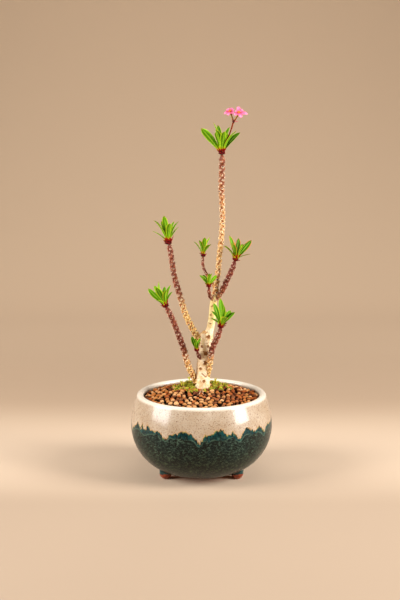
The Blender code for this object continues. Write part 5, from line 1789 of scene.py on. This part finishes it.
def make_eye(side, finish):
    """The raised eye of a bloom: five glands round a domed middle with short anthers."""
    cup, normal, _ = bloom_places(side)
    low = np.array(cup + normal * (CUP_HEIGHT + EYE_LIFT - 0.45))
    way = np.array(normal)
    right = UP.cross(normal).normalized()
    up = normal.cross(right)
    shells = Shells("gland")
    columns = 40
    profile = ((0, 0.95), (0.3, 1.18), (0.65, 1.16), (1.0, 0.95), (1.3, 0.55), (1.42, 0.2))
    rows = np.array([(*(low + way * rise), radius) for rise, radius in profile])
    line, reach = smooth_route(rows, 0.1)
    angles = np.linspace(0, 2 * math.pi, columns, endpoint=False)
    lobes = 0.14 * np.abs(np.sin(2.5 * angles))[None] * ease(reach, 0.1, 0.6)[:, None]
    shells.add(*tube_shell(line, columns, lobes - 0.07, round_end=False), gland=0.3)
    for number in range(5):
        angle = 2 * math.pi * number / 5 + 0.4
        out = right * math.cos(angle) + up * math.sin(angle)
        centre = Vector(low) + normal * 0.75 + out * 0.78
        rows = [(*(centre - normal * 0.35), 0.25), (*centre, 0.42),
                (*(centre + normal * 0.3 + out * 0.15), 0.3)]
        line, _ = smooth_route(rows, 0.1)
        shells.add(*tube_shell(line, 12), gland=1.0)
    for number in range(7):
        angle = number * GOLDEN_ANGLE
        out = right * math.cos(angle) + up * math.sin(angle)
        foot = Vector(low) + normal * 1.2 + out * 0.12 * number ** 0.6
        rows = [(*foot, 0.09), (*(foot + normal * 0.3 + out * 0.05), 0.08),
                (*(foot + normal * 0.5 + out * 0.08), 0.13)]
        line, _ = smooth_route(rows, 0.1)
        shells.add(*tube_shell(line, 8), gland=0.6)
    return shells.piece(side + "_bloom_eye", finish)


def eye_finish(look):
    paint = Finish("flower_eye")
    where = paint.place()
    gland = paint.trait("gland")
    patch = mottle(where, 900, 0.5)
    colour = mix(gland, look.eye_deep, look.eye_orange)
    colour = mix(patch * 0.45, colour, look.eye_yellow)
    rough = step(patch, 0, 1, 0.35, 0.55)
    return paint.wire(colour, rough, tooth(where, 3500, 0.4), strength=0.4, distance=0.0001)


def make_bract(look, finish):
    """The one small bract at the fork."""
    along = bearing_and_lean(BRACT_BEARING, BRACT_LEAN)
    root = Vector(STALK[-1][:3]) + along * (FORK_RADIUS + 2 * GAP) - along * 0.8
    spots = Spots()
    spots.add(root, along, square_to(UP, along),
              (BRACT_WIDTH / PETAL_REFERENCE[1], 0.7, (BRACT_LENGTH + 0.8) / PETAL_REFERENCE[0]), 0)
    form = blade_form("bract_form", petal_shape(look, 0.2, 0.05), PETAL_REFERENCE)
    return spots.piece("fork_bract", [form], finish, own_tone=np.array([0.6]))


# --- What a user can change ---


def colour_choice(name, description, *shown):
    return FloatVectorProperty(
        name=name, description=description, default=tone(*shown), subtype="COLOR", size=3, min=0.0, max=1.0)


def length_choice(name, description, default):
    return FloatProperty(
        name=name, description=description, default=default * MM, min=0.0, max=0.1, unit="LENGTH",
        precision=5)


def power_choice(name, description, default):
    return FloatProperty(name=name, description=description, default=default, min=0.0, unit="POWER")


class BowlLook(bpy.types.PropertyGroup):
    """Sizes and colours of the glazed bowl."""

    steps: IntProperty(name="Steps", description="Points round the bowl", default=480, min=96, max=720)
    fine_pitch: length_choice("Fine pitch", "Space between rings where the glazes meet", 0.62)
    coarse_pitch: length_choice("Coarse pitch", "Space between rings elsewhere", 1.7)
    glaze_thickness: length_choice("Glaze thickness", "How far the cream coat stands off the dark one", 0.22)
    fringe: length_choice("Fringe", "How far the glaze's edge frays up and down", 9.0)
    cream: colour_choice("Cream", "The upper coat", 184, 168, 147)
    cream_shade: colour_choice("Cream shade", "Clouds in the upper coat", 162, 142, 117)
    sand: colour_choice("Sand", "Fine grain in the cream", 160, 120, 84)
    speck: colour_choice("Specks", "Iron specks in the cream", 104, 66, 38)
    lip: colour_choice("Lip", "The rounded rim", 246, 236, 218)
    hem: colour_choice("Hem", "The thin lower edge of the cream", 176, 128, 70)
    dark: colour_choice("Dark coat", "The lower coat", 5, 10, 6)
    bloom: colour_choice("Bloom", "Fine pale grain in the lower coat", 100, 128, 106)
    teal_shade: colour_choice("Teal shade", "Clouds in the lower coat", 10, 32, 32)
    olive: colour_choice("Olive", "The lower coat near the base", 66, 70, 26)
    band: colour_choice("Band", "Bright points of the band between the coats", 6, 70, 70)
    band_deep: colour_choice("Band shade", "The band itself", 1, 18, 24)
    edge_green: colour_choice("Edge green", "Upper edge of the band", 120, 128, 52)
    seam: colour_choice("Seam", "The thin pale line under the band", 96, 128, 104)
    clay: colour_choice("Burnt clay", "The bare line round the base", 190, 120, 56)
    foot_clay: colour_choice("Foot clay", "The bare balls under the bowl", 150, 62, 28)
    foot_clay_dark: colour_choice("Foot clay shade", "Clouds in the bare clay", 92, 34, 18)


class DressingLook(bpy.types.PropertyGroup):
    """Sizes and colours of the clay grains and the moss."""

    seed: IntProperty(name="Seed", description="Which lie of the grains", default=4, min=0)
    grain_spacing: length_choice("Grain spacing", "Least space between two grains", 3.9)
    smallest_grain: length_choice("Smallest grain", "Its width", 3.4)
    largest_grain: length_choice("Largest grain", "Its width", 4.9)
    bed_drop: length_choice("Bed depth", "How far the lower layer lies under the upper", 2.8)
    sprig_spacing: length_choice("Sprig spacing", "Least space between two moss sprigs", 0.62)
    sprig_height: length_choice("Sprig height", "Usual height of a moss sprig", 2.1)
    grain_pale: colour_choice("Pale grain", "Sun-bleached clay", 214, 160, 108)
    grain_tan: colour_choice("Tan grain", "Dry clay", 166, 104, 48)
    grain_orange: colour_choice("Orange grain", "Fired clay", 152, 70, 18)
    grain_brown: colour_choice("Brown grain", "Hard-fired clay", 86, 40, 14)
    grain_red: colour_choice("Red grain", "Iron-rich clay", 92, 28, 8)
    # painted shade: near black for the lower grains and for the undersides of grains and moss
    bed: colour_choice("Bed", "Damp grains underneath", 14, 8, 4)
    moss_light: colour_choice("Light moss", "Fresh tips", 204, 196, 26)
    moss_dark: colour_choice("Dark moss", "Older growth", 62, 66, 6)


class StemLook(bpy.types.PropertyGroup):
    """Sizes and colours of the trunk, the shoots and the stub spines."""

    ring_pitch: length_choice("Ring pitch", "Space between rings along a stem", 0.36)
    stem_sides: IntProperty(
        name="Shoot sides", description="Points round a shoot", default=32, min=12, max=64)
    trunk_sides: IntProperty(
        name="Trunk sides", description="Points round the trunk", default=88, min=24, max=128)
    cushion_spacing: length_choice("Cushion spacing", "Space between two leaf cushions", 3.7)
    cushion_height: length_choice("Cushion height", "How far a cushion stands off its shoot", 1.4)
    spine_length: length_choice("Spine length", "Usual length of a stub spine", 1.15)
    ivory: colour_choice("Ivory bark", "Old bark in the light", 254, 242, 216)
    ivory_shade: colour_choice("Ivory shade", "Clouds in the old bark", 226, 188, 134)
    golden: colour_choice("Golden bark", "Younger bark", 246, 220, 146)
    tan: colour_choice("Tan bark", "Dry cushions", 208, 158, 84)
    tan_pink: colour_choice("Pinkish tan", "Cushions of the maroon shoots", 252, 226, 198)
    tan_olive: colour_choice("Olive tan", "The trunk's upper end", 186, 160, 84)
    maroon_pale: colour_choice("Pale maroon", "Clouds on those cushions", 150, 58, 42)
    base_orange: colour_choice("Orange bark", "The trunk's foot and the valleys", 180, 108, 50)
    maroon: colour_choice("Maroon", "Young bark", 116, 30, 10)
    maroon_deep: colour_choice("Deep maroon", "Shaded young bark", 60, 10, 2)
    scar: colour_choice("Scar", "Heart of a leaf scar", 66, 28, 12)
    old_scar: colour_choice("Old scar", "Scars of the trunk", 142, 88, 38)
    scar_rim: colour_choice("Scar rim", "Edge of a leaf scar", 140, 84, 36)
    spine_foot: colour_choice("Spine foot", "Foot of a stub spine", 190, 156, 128)
    spine_tip: colour_choice("Spine tip", "Point of a stub spine", 88, 54, 44)


class LeafLook(bpy.types.PropertyGroup):
    """Sizes and colours of the leaves and their red feet."""

    leaf_thickness: length_choice("Leaf thickness", "Thickness beside the midrib", 0.62)
    leaf_fresh: colour_choice("Fresh green", "Face of a young leaf", 116, 176, 2)
    leaf_dark: colour_choice("Dark green", "Face of an old leaf", 18, 76, 0)
    leaf_pale: colour_choice("Pale green", "Midrib and veins", 170, 204, 54)
    leaf_back: colour_choice("Back green", "Underside", 122, 172, 20)
    leaf_margin: colour_choice("Margin", "Edge of the blade", 182, 214, 18)
    leaf_root: colour_choice("Leaf root", "Foot of the blade", 190, 200, 24)
    leaf_blush: colour_choice("Blush", "Red edge of a sunned leaf", 220, 84, 60)
    leaf_tip: colour_choice("Tip", "Dry tip", 150, 96, 40)
    foot_red: colour_choice("Foot red", "Young growth", 186, 12, 4)
    foot_bright: colour_choice("Scale red", "Points of the scales", 222, 30, 10)
    foot_dark: colour_choice("Foot shade", "Shaded young growth", 46, 4, 2)


class FlowerLook(bpy.types.PropertyGroup):
    """Sizes and colours of the stalk, the petals and the eyes."""

    petal_thickness: length_choice("Petal thickness", "Thickness in the middle", 0.34)
    petal_tip: colour_choice("Petal tip", "Outer part of a petal", 252, 178, 206)
    petal_pale: colour_choice("Pale pink", "Face of a petal", 246, 134, 172)
    petal_pink: colour_choice("Pink", "Clouds on the face", 236, 82, 130)
    petal_deep: colour_choice("Deep pink", "Underside and margins", 222, 58, 100)
    petal_root: colour_choice("Petal root", "Foot of a petal", 196, 54, 62)
    eye_orange: colour_choice("Orange", "Glands of the eye", 228, 112, 10)
    eye_deep: colour_choice("Deep orange", "Hollows of the eye", 170, 58, 6)
    eye_yellow: colour_choice("Yellow", "Pollen", 240, 158, 30)
    stalk_low: colour_choice("Stalk foot", "The stalk among the leaves", 70, 8, 0)
    stalk_high: colour_choice("Stalk", "The stalk above the leaves", 136, 46, 0)
    stalk_fork: colour_choice("Fork", "Where the stalk parts", 76, 28, 24)
    stalk_lime: colour_choice("Lime", "Shaded side of the pedicels", 176, 180, 60)


class StageLook(bpy.types.PropertyGroup):
    """The backdrop, the lamps and the camera."""

    floor: colour_choice("Floor", "The paper underneath", 210, 184, 157)
    # the floor's front and far tones are painted shade that evens out the lamps' light
    floor_front: colour_choice("Floor in front", "The paper nearest the eye", 172, 148, 124)
    floor_far: colour_choice("Floor behind", "The paper where it starts to rise", 172, 145, 118)
    wall: colour_choice("Wall", "The graded paper behind", 214, 184, 152)
    air: colour_choice("Air", "The soft light from all round", 244, 226, 206)
    air_strength: FloatProperty(
        name="Air strength", description="Light from all round", default=0.07, min=0.0)
    left_power: power_choice("Left lamp", "Power of the left softbox", 16.5)
    right_power: power_choice("Right lamp", "Power of the right softbox", 19.0)
    top_power: power_choice("Top lamp", "Power of the overhead lamp", 2.2)
    front_power: power_choice("Front lamp", "Power of the weak fill", 0.5)
    lens: FloatProperty(name="Lens", description="Focal length in millimetres", default=77.4, min=1.0)
    tilt: FloatProperty(
        name="Tilt", description="How far the camera looks down", default=math.radians(9.87), subtype="ANGLE")
    distance: FloatProperty(
        name="Distance", description="Camera from the bowl's axis", default=1.0673, min=0.1, unit="LENGTH")
    eye_height: FloatProperty(
        name="Eye height", description="Camera above the table", default=0.3358, min=0.0, unit="LENGTH")


# --- The stage ---

# The backdrop in metres: where it starts, an extra edge, where it bends up, the bend, the top, half its width
SWEEP_START, SWEEP_EDGE, BEND_START, BEND_RADIUS, WALL_TOP, HALF_WIDTH = -2.4, -0.6, 0.7, 0.8, 3.0, 2.6
# Lamps: name, the choice of its power, size, place and aim, in metres
LAMPS = (
    ("left_softbox", "left_power", (0.8, 0.95), (-1.14, -0.37, 0.62), (0.0, 0.0, 0.15)),
    ("right_softbox", "right_power", (0.6, 0.95), (1.12, -0.42, 0.62), (0.0, 0.0, 0.15)),
    ("top_softbox", "top_power", (1.0, 0.8), (0.1, -0.35, 1.3), (0.0, -0.1, 0.0)),
    ("front_fill", "front_power", (1.4, 0.9), (0.5, -1.8, 1.0), (0.0, 0.0, 0.15)),
)
LAMP_SPREAD = math.radians(130)
CAMERA_ASIDE, SENSOR_WIDTH = -0.00126, 36.0


def make_backdrop(look):
    """A sweep: a floor that curves up behind, its paper painted darker in front and where it starts to rise,
    as painted shade that evens out the lamps' light.
    """
    profile = [(SWEEP_START, 0.0), (SWEEP_EDGE, 0.0), (BEND_START, 0.0)]
    profile += [(BEND_START + BEND_RADIUS * math.sin(turn), BEND_RADIUS - BEND_RADIUS * math.cos(turn))
                for turn in np.radians(range(6, 90, 6))]
    profile += [(BEND_START + BEND_RADIUS, BEND_RADIUS), (BEND_START + BEND_RADIUS, WALL_TOP)]
    points, faces = [], []
    for y, z in profile:
        points += [(side * HALF_WIDTH * 1000, y * 1000, z * 1000) for side in (-1, 1)]
    for row in range(len(profile) - 1):
        a = 2 * row
        faces.append((a, a + 1, a + 3, a + 2))
    paint = Finish("backdrop_paper")
    where = paint.place()
    depth = part_of(where, 1)
    # darker paper in front and where the floor starts to rise: painted shade against the lamps' uneven light
    paper = mix(step(depth, 0.03, -0.09), look.floor, look.floor_front)
    paper = mix(step(depth, 0.06, 0.26), paper, look.floor_far)
    paper = mix(step(depth, 0.26, 0.85), paper, look.wall)
    colour = mix(mottle(where, 3, 0.8) * 0.06, paper, look.wall)
    rough = step(clouds(where, 4), 0, 1, 0.75, 0.9)
    material = paint.wire(colour, rough, clouds(where, 1200), strength=0.05, distance=0.0002)
    sweep = mesh_piece("backdrop", points, faces, material)
    sweep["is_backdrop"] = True


def make_lamp(name, power, size, at, towards):
    lamp = bpy.data.lights.new(name, "AREA")
    lamp.shape = "RECTANGLE"
    lamp.size, lamp.size_y = size
    lamp.energy = power
    lamp.spread = LAMP_SPREAD
    obj = bpy.data.objects.new(name, lamp)
    obj.location = at
    obj.rotation_euler = (Vector(towards) - Vector(at)).to_track_quat("-Z", "Y").to_euler()
    bpy.context.scene.collection.objects.link(obj)


def make_camera(look):
    camera = bpy.data.cameras.new("photo_view")
    camera.lens = look.lens
    camera.sensor_width = SENSOR_WIDTH
    camera.dof.use_dof = False
    obj = bpy.data.objects.new("photo_view", camera)
    obj.location = (CAMERA_ASIDE, -look.distance, look.eye_height)
    obj.rotation_euler = (math.radians(90) - look.tilt, 0.0, 0.0)
    bpy.context.scene.collection.objects.link(obj)
    bpy.context.scene.camera = obj


def light_the_air(look):
    world = bpy.data.worlds.new("studio_air")
    world.use_nodes = True
    sky = world.node_tree.nodes["Background"]
    sky.inputs["Color"].default_value = (*look.air, 1.0)
    sky.inputs["Strength"].default_value = look.air_strength
    bpy.context.scene.world = world
    bpy.context.scene.view_settings.view_transform = "Standard"


# --- Operators ---


class EUPHORBIA_OT_bowl(bpy.types.Operator):
    """Turn the glazed bowl with its three ball feet"""

    bl_idname = "euphorbia.bowl"
    bl_label = "Glazed bowl"

    def execute(self, context):
        look = context.scene.bowl_look
        hand_over(make_bowl(look, bowl_finish(look)), "bowl_glaze", "footed_bowl")
        return {"FINISHED"}


class EUPHORBIA_OT_fill(bpy.types.Operator):
    """Finish the potting mix and the drain mesh, and scatter the clay grains over the mound"""

    bl_idname = "euphorbia.fill"
    bl_label = "Mix and grains"

    def execute(self, context):
        look = context.scene.dressing_look
        for node, finish in (("potting_mix", mix_finish()), ("drain_mesh", plastic_finish())):
            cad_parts[node].data.materials.clear()
            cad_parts[node].data.materials.append(finish)
        hand_over(make_grains(look, grain_finish(look)), "fired_clay", "grain_layer")
        return {"FINISHED"}


class EUPHORBIA_OT_growth(bpy.types.Operator):
    """Grow moss, seedlings and rootlets on the grains"""

    bl_idname = "euphorbia.growth"
    bl_label = "Moss and rootlets"

    def execute(self, context):
        look = context.scene.dressing_look
        green = moss_finish(look)
        hand_over(make_moss(look, green), "leaf")
        hand_over(make_seedlings(green), "leaf")
        hand_over(make_rootlets(root_finish()), "bark")
        return {"FINISHED"}


class EUPHORBIA_OT_stem(bpy.types.Operator):
    """Grow the trunk and the studded shoots, with their stub spines"""

    bl_idname = "euphorbia.stem"
    bl_label = "Woody frame"

    def execute(self, context):
        look = context.scene.stem_look
        woody, shoots = make_woody_frame(look, bark_finish(look))
        hand_over(woody, "bark", "stem")
        hand_over(make_spines(shoots, look, spine_finish(look)), "bark")
        return {"FINISHED"}


class EUPHORBIA_OT_leaves(bpy.types.Operator):
    """Set eight rosettes of leaves, each on its red foot"""

    bl_idname = "euphorbia.leaves"
    bl_label = "Leaf rosettes"

    def execute(self, context):
        look = context.scene.leaf_look
        green, red = leaf_finish(look), foot_finish(look)
        for rosette in ROSETTES:
            hand_over(make_leaves(rosette, look, green), "leaf", "leaves_" + rosette)
            hand_over(make_leaf_foot(rosette, red), "leaf_foot", "leaf_foot_" + rosette)
        return {"FINISHED"}


class EUPHORBIA_OT_flowers(bpy.types.Operator):
    """Grow the forked stalk with its bract and two blooms"""

    bl_idname = "euphorbia.flowers"
    bl_label = "Stalk and blooms"

    def execute(self, context):
        look = context.scene.flower_look
        pink, orange = petal_finish(look), eye_finish(look)
        hand_over(make_stalk(stalk_finish(look)), "flower_stalk", "flower_stalk")
        hand_over(make_bract(look, pink), "petal", "stalk_bract")
        for side in BLOOMS:
            hand_over(make_petals(side, look, pink), "petal", f"bloom_{side}_petals")
            hand_over(make_eye(side, orange), "flower_eye", f"bloom_{side}_eye")
        return {"FINISHED"}


class EUPHORBIA_OT_stage(bpy.types.Operator):
    """Set up the backdrop, the lamps and the camera"""

    bl_idname = "euphorbia.stage"
    bl_label = "Stage"

    def execute(self, context):
        look = context.scene.stage_look
        make_camera(look)
        make_backdrop(look)
        light_the_air(look)
        for name, power, size, at, towards in LAMPS:
            make_lamp(name, getattr(look, power), size, at, towards)
        return {"FINISHED"}


class EUPHORBIA_PT_maker(bpy.types.Panel):
    """Lists the steps that dress the potted euphorbia"""

    bl_idname = "EUPHORBIA_PT_maker"
    bl_label = "Potted euphorbia"
    bl_space_type = "VIEW_3D"
    bl_region_type = "UI"
    bl_category = "Euphorbia"

    def draw(self, context):
        for operator in OPERATORS:
            self.layout.operator(operator.bl_idname)
        for name in LOOKS:
            look = getattr(context.scene, name)
            box = self.layout.box()
            for choice in look.bl_rna.properties:
                if choice.identifier not in ("rna_type", "name"):
                    box.prop(look, choice.identifier)


OPERATORS = (
    EUPHORBIA_OT_bowl, EUPHORBIA_OT_fill, EUPHORBIA_OT_growth, EUPHORBIA_OT_stem, EUPHORBIA_OT_leaves,
    EUPHORBIA_OT_flowers, EUPHORBIA_OT_stage,
)
LOOKS = {
    "bowl_look": BowlLook, "dressing_look": DressingLook, "stem_look": StemLook, "leaf_look": LeafLook,
    "flower_look": FlowerLook, "stage_look": StageLook,
}
CLASSES = (*LOOKS.values(), *OPERATORS, EUPHORBIA_PT_maker)


def register():
    for cls in CLASSES:
        bpy.utils.register_class(cls)
    for name, group in LOOKS.items():
        setattr(bpy.types.Scene, name, PointerProperty(type=group))


def unregister():
    for name in LOOKS:
        delattr(bpy.types.Scene, name)
    for cls in reversed(CLASSES):
        bpy.utils.unregister_class(cls)


def write_sizes():
    """Works out the box of the CAD solids and the box of the finished looks, lowest and highest corners, but
    keeps neither.
    """
    boxes = {"cad": CAD_BOX, "visual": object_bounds()}
    {name: [list(corner) for corner in box] for name, box in boxes.items()}


def main():
    register()
    for operator in OPERATORS:
        group, name = operator.bl_idname.split(".")
        getattr(getattr(bpy.ops, group), name)()
    write_sizes()


if __name__ == "__main__":
    main()
